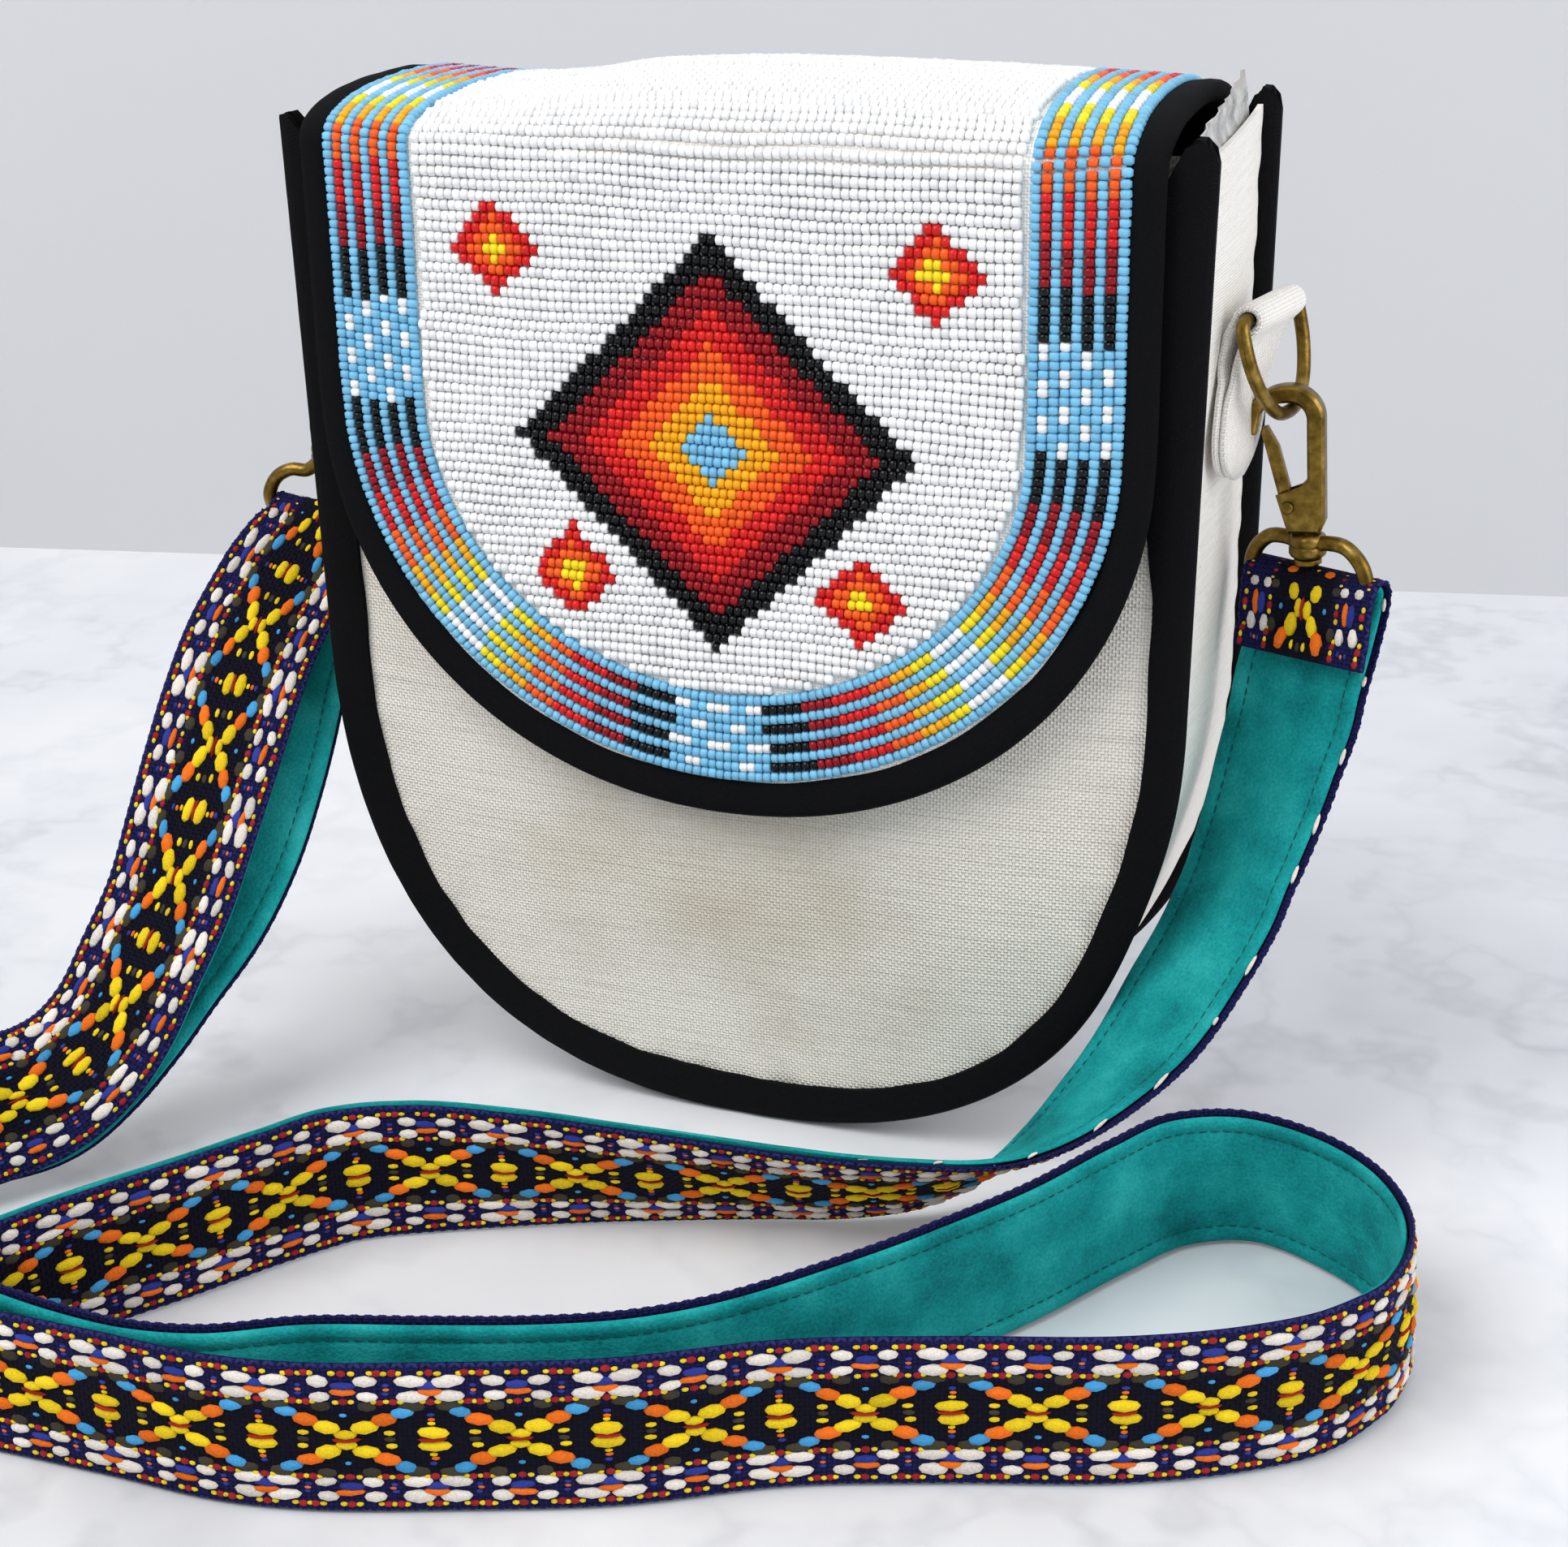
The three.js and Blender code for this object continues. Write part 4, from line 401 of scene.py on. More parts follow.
def wire_piece(name, points, normal, diameter, sides=16):
    """A round wire along a closed flat curve."""
    along = unit(np.roll(points, -1, axis=0) - np.roll(points, 1, axis=0))
    across = unit(np.cross(normal, along))[:, None]
    turn = np.linspace(0, 2 * PI, sides, endpoint=False)[None, :, None]
    rings = points[:, None] + (across * np.cos(turn) + normal[None, None] * np.sin(turn)) * diameter / 2
    return swept_piece(name, rings, closed=True)


def copies(name, form, axes, middles, tones):
    """One mesh of many copies of a form: axes are its three directions at their sizes, in millimetres."""
    base = np.array([v.co for v in form.data.vertices])
    faces = sorted(tuple(f.vertices) for f in form.data.polygons)
    corners = np.array([v for face in faces for v in face])
    sizes = np.array([len(face) for face in faces])
    starts = np.cumsum(sizes) - sizes
    count = len(middles)
    copy = np.arange(count)[:, None]
    places = np.einsum("pk,nkc->npc", base, axes) + middles[:, None]
    mesh = bpy.data.meshes.new(name)
    mesh.vertices.add(count * len(base))
    mesh.vertices.foreach_set("co", (places * MM).astype(np.float32).ravel())
    mesh.loops.add(count * len(corners))
    mesh.loops.foreach_set("vertex_index", (corners + copy * len(base)).astype(np.int32).ravel())
    mesh.polygons.add(count * len(sizes))
    mesh.polygons.foreach_set("loop_start", (starts + copy * len(corners)).astype(np.int32).ravel())
    mesh.polygons.foreach_set("use_smooth", np.ones(count * len(sizes), bool))
    tone = mesh.attributes.new("tone", "FLOAT", "POINT")
    tone.data.foreach_set("value", np.repeat(tones.astype(np.float32), len(base)))
    mesh.update(calc_edges=True)
    mesh.validate()
    return new_object(name, mesh)


def paint(piece, material):
    piece.data.materials.clear()
    piece.data.materials.append(material)


def dress(piece, material, body="bag", stands_for=()):
    """Gives a piece its finish, its body and the solids that it stands for."""
    paint(piece, material)
    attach(piece, body)
    if stands_for:
        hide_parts(*stands_for)
    return piece


# Finishes

class Nodes:
    """A shader tree, and the nodes that the groups and finishes add to it."""

    def __init__(self, tree):
        self.tree = tree

    def add(self, kind, inputs, **settings):
        """Adds a node with its settings, and values or links for its inputs; gives its outputs."""
        node = self.tree.nodes.new("ShaderNode" + kind)
        for key, value in settings.items():
            setattr(node, key, value)
        for key, value in inputs.items():
            if isinstance(value, bpy.types.NodeSocket):
                self.tree.links.new(value, node.inputs[key])
            else:
                node.inputs[key].default_value = value
        return node.outputs

    def math(self, operation, *values):
        return self.add("Math", dict(enumerate(values)), operation=operation)[0]

    def vector(self, operation, *values):
        return self.add("VectorMath", dict(enumerate(values)), operation=operation)[0]


def new_group(name, numbers, results):
    """An empty node group of a Vector, numbers and results: its nodes, its inputs and its results."""
    tree = bpy.data.node_groups.new(name, "ShaderNodeTree")
    tree.interface.new_socket("Vector", in_out="INPUT", socket_type="NodeSocketVector")
    for socket in numbers:
        tree.interface.new_socket(socket, in_out="INPUT", socket_type="NodeSocketFloat")
    for socket in results:
        tree.interface.new_socket(socket, in_out="OUTPUT", socket_type="NodeSocketFloat")
    return Nodes(tree), tree.nodes.new("NodeGroupInput").outputs, tree.nodes.new("NodeGroupOutput").inputs


def weave_group():
    """Plain weave: threads over and under each other, one Pitch apart, some of them thicker."""
    nodes, given, results = new_group("plain_weave", ["Pitch"], ["Height", "Slub"])
    place = nodes.vector("DIVIDE", given["Vector"], given["Pitch"])
    axes = nodes.add("SeparateXYZ", {0: place})
    rounds, cells = [], []
    for axis in "XY":
        angle = nodes.math("MULTIPLY", axes[axis], PI)
        rounds.append(nodes.math("ABSOLUTE", nodes.math("SINE", angle)))
        cells.append(nodes.math("FLOOR", axes[axis]))
    over = nodes.math("FLOORED_MODULO", nodes.math("ADD", *cells), 2.0)
    height = nodes.add("Mix", {0: over, 2: rounds[0], 3: rounds[1]})[0]
    stretched = nodes.vector("MULTIPLY", place, (0.03, 0.9, 1.0))
    slub = nodes.add("TexNoise", {"Vector": stretched, "Scale": 1.0, "Detail": 2.0})[0]
    nodes.tree.links.new(height, results["Height"])
    nodes.tree.links.new(slub, results["Slub"])
    return nodes.tree


def mottle_group():
    """Soft patches at a Size, with finer ones in them, as one value about one half."""
    nodes, given, results = new_group("soft_mottle", ["Size", "Contrast"], ["Value"])
    place = nodes.vector("DIVIDE", given["Vector"], given["Size"])
    noise = nodes.add("TexNoise", {"Vector": place, "Scale": 1.0, "Detail": 4.0, "Roughness": 0.6})[0]
    value = nodes.math("MULTIPLY_ADD", nodes.math("SUBTRACT", noise, 0.5), given["Contrast"], 0.5)
    nodes.tree.links.new(value, results["Value"])
    return nodes.tree


WEAVE = weave_group()
MOTTLE = mottle_group()


class Finish(Nodes):
    """A material, with its main shader's plain values set."""

    def __init__(self, name, roughness, **plain):
        self.material = bpy.data.materials.new(name)
        self.material.use_nodes = True
        super().__init__(self.material.node_tree)
        self.shader = self.tree.nodes["Principled BSDF"]
        for key, value in {"Roughness": roughness, **plain}.items():
            self.shader.inputs[key.replace("_", " ")].default_value = value

    def feed(self, **links):
        """Links values to the main shader's inputs."""
        for key, value in links.items():
            self.tree.links.new(value, self.shader.inputs[key.replace("_", " ")])

    def bump(self, height, distance):
        self.feed(Normal=self.add("Bump", {"Height": height, "Distance": distance * MM, "Strength": 1.0})[0])

    def cloth(self):
        """The piece's own map, in millimetres."""
        return self.add("UVMap", {}, uv_map="cloth")[0]

    def place(self):
        """Object coordinates in millimetres."""
        return self.vector("MULTIPLY", self.add("TexCoord", {})["Object"], (1000,) * 3)

    def tone(self):
        """The tone of each copy in a piece of many."""
        return self.add("Attribute", {}, attribute_name="tone")["Fac"]

    def weave(self, vector, pitch):
        return self.add("Group", {"Vector": vector, "Pitch": pitch}, node_tree=WEAVE)

    def mottle(self, vector, size, contrast):
        inputs = {"Vector": vector, "Size": size, "Contrast": contrast}
        return self.add("Group", inputs, node_tree=MOTTLE)[0]

    def ranged(self, value, *ends):
        """A value brought from one range to another."""
        return self.add("MapRange", dict(enumerate((value, *ends))))[0]

    def mixed(self, amount, first, second):
        return self.add("Mix", {0: amount, 6: first, 7: second}, data_type="RGBA")[2]

    def ramp(self, value, *stops):
        """Colours by a value."""
        made = self.add("ValToRGB", {0: value})[0]
        elements = made.node.color_ramp.elements
        while len(elements) < len(stops):
            elements.new(0.5)
        for element, (at, tint) in zip(elements, stops):
            element.position = at
            element.color = tint
        return made


def stain_amount(finish, uv):
    """How much a stain shows: in patches, most of them about its middle."""
    shares = finish.vector("DIVIDE", finish.vector("SUBTRACT", uv, STAIN_MIDDLE), STAIN_REACH)
    away = finish.add("VectorMath", {0: shares}, operation="LENGTH")["Value"]
    spot = finish.ranged(away, 0.2, 1.2, 0.4, -0.2)
    patches = finish.mottle(finish.place(), 58.0, 1.5)
    amount = finish.add("Math", {0: patches, 1: spot}, operation="ADD", use_clamp=True)[0]
    return finish.ranged(amount, 0.4, 1.0, 0.0, 0.65)


def woven_cloth(name, dark, light, pitch, depth, specular, stain=None):
    """Cotton cloth: weave, slubs, soft patches and faint stains."""
    finish = Finish(name, 0.92, Specular_IOR_Level=specular)
    uv = finish.cloth()
    weave = finish.weave(uv, pitch)
    threads = finish.math("MULTIPLY_ADD", weave["Height"], 0.35, 0.2)
    slubs = finish.math("MULTIPLY_ADD", weave["Slub"], 0.5, threads)
    shade = finish.math("MULTIPLY_ADD", finish.mottle(uv, 1.6, 1.2), 0.35, slubs)
    base = finish.ramp(shade, (0.25, dark), (0.95, light))
    if stain:
        base = finish.mixed(stain_amount(finish, uv), base, stain)
    finish.feed(Base_Color=base)
    finish.bump(finish.math("MULTIPLY_ADD", weave["Slub"], 0.8, weave["Height"]), depth)
    return finish.material


def bead_glass(name, tint, roughness):
    """Glass seed beads of one colour, each a little lighter or darker than the next."""
    finish = Finish(name, roughness, Specular_IOR_Level=0.22)
    dark, light = scaled(tint, 0.8), scaled(tint, 1.1, 0.002, 0.95)
    finish.feed(Base_Color=finish.ramp(finish.tone(), (0.0, dark), (1.0, light)))
    return finish.material


def yarn(name, tint):
    """Thick soft yarn of one colour with its fibres."""
    finish = Finish(name, 0.85, Specular_IOR_Level=0.2)
    fibres = finish.mottle(finish.place(), 0.5, 1.6)
    shade = finish.math("MULTIPLY_ADD", finish.tone(), 0.45, finish.math("MULTIPLY", fibres, 0.55))
    finish.feed(Base_Color=finish.ramp(shade, (0.05, scaled(tint, 0.5)), (0.75, scaled(tint, 1.12, 0.01))))
    finish.bump(fibres, 0.25)
    return finish.material


def band_ground():
    """The strap's ribbed ground, black in the middle and navy at both edges."""
    finish = Finish("strap_ground", 0.9, Specular_IOR_Level=0.12)
    uv = finish.cloth()
    ribs = finish.weave(uv, 1.15)["Height"]
    shade = finish.math("MULTIPLY_ADD", ribs, 0.5, finish.mottle(uv, 1.5, 1.4))
    middle = finish.ramp(shade, (0.3, colour(3, 3, 5)), (1.0, colour(15, 14, 32)))
    edges = finish.ramp(shade, (0.3, colour(3, 3, 12)), (1.0, colour(27, 27, 78)))
    across = finish.add("SeparateXYZ", {0: uv})["Y"]
    away = finish.math("ABSOLUTE", finish.math("SUBTRACT", across, BAND_MIDDLE))
    finish.feed(Base_Color=finish.mixed(finish.ranged(away, 7.5, 10.5), middle, edges))
    finish.bump(ribs, 0.4)
    return finish.material


def teal_suede():
    """The strap's brushed lining: a soft nap in lighter and darker strokes."""
    finish = Finish("teal_suede", 0.95, Specular_IOR_Level=0.15)
    uv = finish.cloth()
    strokes = finish.mottle(uv, 24.0, 2.4)
    nap = finish.mottle(uv, 0.9, 1.6)
    shade = finish.math("MULTIPLY_ADD", strokes, 0.6, finish.math("MULTIPLY", nap, 0.4))
    dark, mean, light = colour(4, 102, 106), colour(18, 144, 145), colour(48, 174, 172)
    finish.feed(Base_Color=finish.ramp(shade, (0.2, dark), (0.5, mean), (0.85, light)))
    finish.bump(nap, 0.22)
    return finish.material


def aged_brass():
    """Antique brass: brown in its hollows, rubbed brighter in patches, with fine scratches."""
    finish = Finish("antique_brass", 0.35, Metallic=1.0)
    place = finish.place()
    rubbed = finish.mottle(place, 5.0, 1.8)
    fine = finish.mottle(place, 0.6, 1.5)
    brown, mean, bright = colour(84, 66, 26), colour(128, 102, 44), colour(168, 140, 76)
    finish.feed(Base_Color=finish.ramp(rubbed, (0.2, brown), (0.55, mean), (0.9, bright)))
    finish.feed(Roughness=finish.ranged(fine, 0.2, 0.8, 0.26, 0.46))
    finish.bump(fine, 0.03)
    return finish.material


def drawn_steel():
    finish = Finish("spring_steel", 0.3, Metallic=1.0)
    fine = finish.mottle(finish.place(), 0.4, 1.5)
    finish.feed(Base_Color=finish.ramp(fine, (0.2, colour(120, 120, 122)), (0.8, colour(176, 176, 178))))
    return finish.material


def clear_film():
    """Thin clear film, a little grey and creased, with a tan tip."""
    finish = Finish("clear_film", 0.2, Coat_Weight=0.4)
    place = finish.place()
    creases = finish.mottle(place, 4.0, 1.1)
    base = finish.ramp(creases, (0.2, colour(168, 166, 162)), (0.8, colour(236, 235, 232)))
    height = finish.add("SeparateXYZ", {0: place})["Z"]
    tip = finish.ranged(height, FILM_FOOT + 12, FILM_FOOT + 18, 0.0, 0.7)
    finish.feed(Base_Color=finish.mixed(tip, base, colour(150, 124, 96)))
    finish.feed(Alpha=finish.ranged(creases, 0.2, 0.9, 0.45, 0.85))
    finish.bump(creases, 0.3)
    return finish.material


def pale_stone():
    """A pale polished stone with soft grey clouds and thin veins."""
    finish = Finish("pale_stone", 0.35)
    place = finish.place()
    clouds = finish.mottle(place, 210.0, 1.6)
    veins = finish.mottle(place, 95.0, 1.0)
    thin = finish.math("ABSOLUTE", finish.math("SUBTRACT", veins, 0.5))
    level = finish.math("SUBTRACT", clouds, finish.ranged(thin, 0.0, 0.05, 0.16, 0.0))
    dark, mean, light = colour(180, 182, 188), colour(220, 222, 226), colour(233, 234, 237)
    finish.feed(Base_Color=finish.ramp(level, (0.0, dark), (0.4, mean), (0.75, light)))
    return finish.material


def wall_paint():
    """White paint, clear from behind so that the wall blocks no view."""
    finish = Finish("wall_paint", 0.9)
    shade = finish.mottle(finish.place(), 900.0, 0.5)
    finish.feed(Base_Color=finish.ramp(shade, (0.2, colour(194, 195, 198)), (0.8, colour(206, 207, 210))))
    finish.feed(Alpha=finish.math("SUBTRACT", 1.0, finish.add("NewGeometry", {})["Backfacing"]))
    return finish.material


CANVAS = woven_cloth("natural_canvas", colour(168, 156, 140), colour(250, 244, 234), 0.85, 0.25, 0.2,
                     stain=colour(204, 186, 160))
WHITE_CANVAS = woven_cloth("white_canvas", colour(206, 198, 188), colour(252, 248, 242), 0.75, 0.2, 0.2,
                           stain=colour(234, 225, 212))
BLACK_TAPE = woven_cloth("black_tape", colour(3, 3, 4), colour(12, 12, 14), 0.45, 0.08, 0.12)
BRASS = aged_brass()
STEEL = drawn_steel()
GLASS_COLOURS = {
    "white": (242, 242, 243), "blue": (120, 186, 221), "black": (12, 12, 15), "dark_red": (142, 14, 24),
    "red": (208, 30, 28), "orange": (238, 92, 28), "amber": (246, 168, 20), "yellow": (248, 216, 32),
}
GLASS = {name: bead_glass("glass_" + name, colour(*tint), 0.1 if name == "black" else 0.16)
         for name, tint in GLASS_COLOURS.items()}
YARN_COLOURS = {
    "white": (234, 226, 216), "yellow": (246, 208, 12), "orange": (242, 112, 8), "sky": (66, 158, 216),
    "blue": (38, 56, 150), "red": (158, 26, 28), "olive": (58, 52, 38), "navy": (34, 34, 100),
}
YARN = {name: yarn("yarn_" + name, colour(*tint)) for name, tint in YARN_COLOURS.items()}


# Bag body

def bag_half(z, face, side):
    """Half of the bag's width at a height, on one side of a face."""
    waist, top, dent = BAG_SIDES[face, side]
    low = np.clip((ROUND_HEIGHT - z) / ROUND_HEIGHT, 0, 1)
    bowl = waist * (1 - low**ROUND_POWER) ** (1 / ROUND_POWER)
    share = np.clip((z - ROUND_HEIGHT) / (BAG_HEIGHT - ROUND_HEIGHT), 0, 1)
    pushed = dent * np.exp(-(((z - DENT_HEIGHT) / DENT_SPREAD) ** 2))
    return np.maximum(bowl + share * (top - waist) - pushed, 0)


def bag_outline(tops, face):
    """A face's edge from its upper left end round the foot to its upper right end, x and z."""
    turn = np.linspace(0, PI / 2, 120)
    bowl = ROUND_HEIGHT * (1 - np.sin(turn) ** (2 / ROUND_POWER))
    edges = []
    for top, side in zip(tops, ("left", "right")):
        z = np.concatenate([np.linspace(top, ROUND_HEIGHT, 14)[:-1], bowl])
        edges.append(np.stack([bag_half(z, face, side), z], axis=1))
    left, right = edges
    points = np.vstack([left * (-1, 1), right[-2::-1]])
    way = ways(points)
    return on_path(points, way, np.linspace(0, way[-1], 361))


def panel_piece(face):
    """A canvas panel: soft belly low down, and small puckers where the binding gathers it round the foot."""
    side, seed = FACES[face]
    heights = np.concatenate([np.linspace(PANEL_TOP, 60, 56), np.linspace(58, PANEL_EDGE, 44)])
    u, z = np.meshgrid(np.sin(np.linspace(-PI / 2, PI / 2, 73)), heights)
    half = np.where(u < 0, bag_half(z, face, "left"), bag_half(z, face, "right"))
    half = half - PANEL_EDGE - np.maximum(FOOT_HEIGHT - z, 0) * FOOT_TAPER
    x = u * half
    edge = np.minimum(half * (1 - np.abs(u)), (z - PANEL_EDGE) * 0.9 + np.abs(u) * 4)
    inside = np.clip((edge - BINDING_WIDTH + 3) / BELLY_RISE, 0, 1)
    belly = BELLY_DEPTH * np.sin(inside * PI / 2) * np.exp(-(((z - BELLY_HEIGHT) / BELLY_SPREAD) ** 2))
    near = np.exp(-np.maximum(edge - BINDING_WIDTH + 2, 0) / PUCKER_REACH)
    near = near * np.clip((PUCKER_TOP - z) / PUCKER_FADE, 0, 1) * np.clip(edge / PUCKER_REACH, 0, 1)
    turn = np.arctan2(x, np.maximum(PUCKER_MIDDLE - z, 1)) * PUCKER_RADIUS
    pucker = PUCKER_DEPTH * near * waves(turn, (13, 19, 8.5), seed)
    sway = 0.5 * waves(x + 0.7 * z, (90, 61), seed + 1) + 0.35 * waves(z - 0.4 * x, (47, 70), seed + 2)
    y = side * (PANEL_MIDDLE + belly + pucker + inside * sway)
    return sheet_piece(face + "_canvas", np.stack([x, y, z], axis=2), 1.5, np.stack([x, z], axis=2))


def tape_section(width, half, wall, soft):
    """A folded tape: round at its outer edge, drawn in at its sewn inner edges, open inside."""
    outer = [(1, 0.72), (0.86, 0.86), (0.55, 1), (0.26, 0.98), (0.09, 0.8), (0, 0.36)]
    outer = [(width * x, -half * y) for x, y in outer]
    inner = [(width, half * 0.72 - wall), (width * 0.4, half - wall * 1.05)]
    inner.append((wall + soft, half - wall * 1.5))
    whole = [side + [(x, -y) for x, y in side[::-1]] for side in (outer, inner)]
    return np.array(whole[0] + whole[1])


def panel_binding(face):
    """The black tape round one panel, a little uneven along its way."""
    side, seed = FACES[face]
    outline = bag_outline(BINDING_TOPS[face], face)
    normals = inward(outline)
    section = tape_section(BINDING_WIDTH, BINDING_HALF_THICK, 1.5, 0.4)
    way = ways(outline)
    share = np.interp(way / way[-1], *BINDING_SHARES[face]) + 0.025 * waves(way, (37, 23, 61), seed + 20)
    puff = 1 + 0.05 * waves(way, (17, 29, 11), seed + 21)
    x = section[None, :, 0] * share[:, None]
    z = np.maximum(outline[:, None, 1] + normals[:, None, 1] * x, 0)
    for end, distance in (("left", way), ("right", way[-1] - way)):
        drop = np.interp(section[:, 0] / BINDING_WIDTH, *BINDING_ENDS[end])
        z = z - np.clip(1 - distance / BINDING_END_LENGTH, 0, 1)[:, None] * drop
    y = side * PANEL_MIDDLE + section[None, :, 1] * puff[:, None]
    x = outline[:, None, 0] + normals[:, None, 0] * x
    return swept_piece(face + "_tape", np.stack([x, y, z], axis=2))


def gusset_piece():
    """The white strip between the panels, crowned outward, with small waves along its seams."""
    y = np.linspace(-GUSSET_HALF, GUSSET_HALF, 21)[None]
    share = y / GUSSET_HALF
    front, back = (bag_outline((GUSSET_TOP,) * 2, face) for face in FACES)
    way = ways(front)
    blend = ((share + 1) / 2)[..., None]
    outline = front[:, None] * (1 - blend) + back[:, None] * blend
    normals = inward(front)[:, None]
    seam = 0.35 * share**4 * waves(way, (15, 9, 23), 31)[:, None]
    sway = 0.5 * (1 - share**2) * waves(way, (80, 53), 33)[:, None]
    off_floor = np.clip(front[:, 1] / 12, 0, 1)[:, None]
    inset = GUSSET_INSET + 0.7 - GUSSET_CROWN * (1 - share**2) - (seam + sway) * off_floor
    high = np.clip((outline[..., 1] - 225) / 36, 0, 1)
    x = outline[..., 0] + normals[..., 0] * inset
    z = outline[..., 1] + normals[..., 1] * inset + high * GUSSET_SLOPE * y
    return sheet_piece("gusset_cloth", np.stack([x, np.broadcast_to(y, x.shape), z], axis=2), 1.3)


def make_bag():
    for face in FACES:
        panel = panel_piece(face)
        dress(panel, CANVAS, stands_for=[face + "_panel"])
        dress(panel_binding(face), BLACK_TAPE, stands_for=[face + "_binding"])
    gusset = gusset_piece()
    dress(gusset, WHITE_CANVAS, stands_for=["gusset"])


# Flap

BEND_TURN = np.linspace(0, PI, 481)
BEND_Y = -np.sign(np.cos(BEND_TURN)) * np.abs(np.cos(BEND_TURN)) ** (2 / BEND_POWER) * FLAP_STAND
BEND_RISE = np.sin(BEND_TURN) ** (2 / BEND_POWER)
BEND_WAY = ways(np.stack([BEND_Y, BEND_RISE * BEND_HEIGHT], axis=1))
BEND_LENGTH = BEND_WAY[-1]
CROWN_LINE = smooth_path(FLAP_CROWN, 8)
FLAP_LENGTH = BEND_START + BEND_LENGTH + FLAP_BACK_LENGTH


def flap_middle(x, along):
    """Points of the flap's middle surface: x across, along from its lowest point over its top."""
    way = along - BEND_START
    rise = np.interp(way, BEND_WAY, BEND_RISE)
    height = BEND_HEIGHT + np.interp(x / FLAP_HALF, CROWN_LINE[:, 0], CROWN_LINE[:, 1])
    z = FLAP_BOTTOM + BEND_START + rise * height + np.minimum(way, 0) - np.maximum(way - BEND_LENGTH, 0)
    swing = np.clip(-way / BEND_START, 0, 1.1)[..., None] ** 2 * FLAP_SWING
    return np.stack([x + FLAP_SHIFT, np.interp(way, BEND_WAY, BEND_Y), z], axis=-1) + swing


def flap_normal(x, along):
    step = flap_middle(x, along + 0.8) - flap_middle(x, along - 0.8)
    return unit(np.stack([np.zeros_like(step[..., 0]), -step[..., 2], step[..., 1]], axis=-1))


def flap_point(x, along, out):
    return flap_middle(x, along) + flap_normal(x, along) * out[..., None]


def flap_corners(half, power):
    """An edge of the flap in the flat, in few points: x across, y along."""
    bend = [BEND_START + share * BEND_LENGTH for share in BEND_SHARES]
    straight = [(half, along) for along in (FLAP_LENGTH, *bend, FLAP_ROUND_HEIGHT * 1.35)]
    turn = np.linspace(0, PI / 2, 13)
    low = FLAP_ROUND_HEIGHT - FLAP_ROUND_HEIGHT * np.sin(turn) ** (2 / power)
    right = np.vstack([straight, np.stack([half * np.cos(turn) ** (2 / power), low], axis=1)])
    return np.vstack([right * (-1, 1), right[-2::-1]])


def flap_row(distance, edge, steps=10):
    """The smooth line on the flap at a distance from one of its edges, in the flat."""
    corners = flap_corners(*edge)
    line = smooth_path(corners + inward(corners) * distance, steps)
    line[:, 1] = np.minimum(line[:, 1], FLAP_LENGTH)
    return line


def right_half(line, turn):
    """The right half of a line on the flap, sorted by its way up (1) or down (-1)."""
    right = line[len(line) // 2:]
    return right[np.argsort(turn * right[:, 1], kind="stable")]


def flap_layer(name, margin, out, thickness):
    """A layer of cloth on the flap, inside its edge by a margin and out from its middle surface."""
    rows = right_half(flap_row(margin, FLAP_EDGE), -1)
    rows = rows[rows[:, 0] > 6.0][::2]
    x = rows[:, None, 0] * np.sin(np.linspace(-PI / 2, PI / 2, 41))[None]
    along = np.broadcast_to(rows[:, None, 1], x.shape)
    points = flap_point(x, along, np.full(x.shape, out))
    return sheet_piece(name, points, thickness, np.stack([x, along], axis=2))


def flap_tape():
    """The black tape round the flap's edge."""
    section = tape_section(FLAP_BINDING_WIDTH, 2.5, 0.95, 0.3)
    line, way = evenly(flap_row(0.0, FLAP_EDGE, 12), 1.8)
    normals = inward(line)
    puff = 1 + 0.06 * waves(way, (19, 31, 12), 71)
    at_side = np.clip((np.abs(line[:, 0]) - 84) / 22, 0, 1)
    share = 1 - 0.22 * at_side + 0.02 * waves(way, (43, 27), 73)
    depth = section[None, :, 0] * share[:, None]
    x = line[:, None, 0] + normals[:, None, 0] * depth
    along = np.minimum(line[:, None, 1] + normals[:, None, 1] * depth, FLAP_LENGTH)
    return swept_piece("flap_tape", flap_point(x, along, section[None, :, 1] * puff[:, None]))


def make_flap():
    cloth = flap_layer("flap_cloth", 1.3, 0.0, 2.0)
    dress(cloth, BLACK_TAPE, stands_for=["flap"])
    backing = flap_layer("bead_backing", 9.0, 1.3, 0.5)
    dress(backing, WHITE_CANVAS)
    dress(flap_tape(), BLACK_TAPE, stands_for=["flap_binding"])


# Beads

def bead_form():
    """One seed bead: a short barrel with round shoulders, its hole along X, one long and one across."""
    bpy.ops.object.select_all(action="DESELECT")
    bpy.ops.mesh.primitive_cylinder_add(vertices=8, radius=0.5, depth=1.0, rotation=(0, PI / 2, 0))
    bead = bpy.context.object
    bpy.ops.object.transform_apply(location=False, rotation=True, scale=False)
    apply(bead, "BEVEL", width=0.2, segments=1, limit_method="ANGLE", angle_limit=math.radians(60))
    return bead


def border_colour(way, row):
    """The colour of a border bead by its way from the flap's lowest point: even rows are blue, the others
    run from black through red and yellow to white and back, with checked blocks between."""
    run = int(np.searchsorted(BORDER_RUNS, way))
    if row % 2 == 0 or run >= len(BORDER_RUNS):
        return "blue"
    start = BORDER_RUNS[run - 1] if run else -BORDER_RUNS[0]
    if run in CHECKED_RUNS:
        pair = int((way - start) / (2 * BEAD_PITCH))
        return "white" if (pair + row // 2) % 2 == 0 else "blue"
    share = (way - start) / (BORDER_RUNS[run] - start)
    heat = share if run in RISING_RUNS else 1 - share
    return RUN_COLOURS[int(np.searchsorted(RUN_SHARES, heat))]


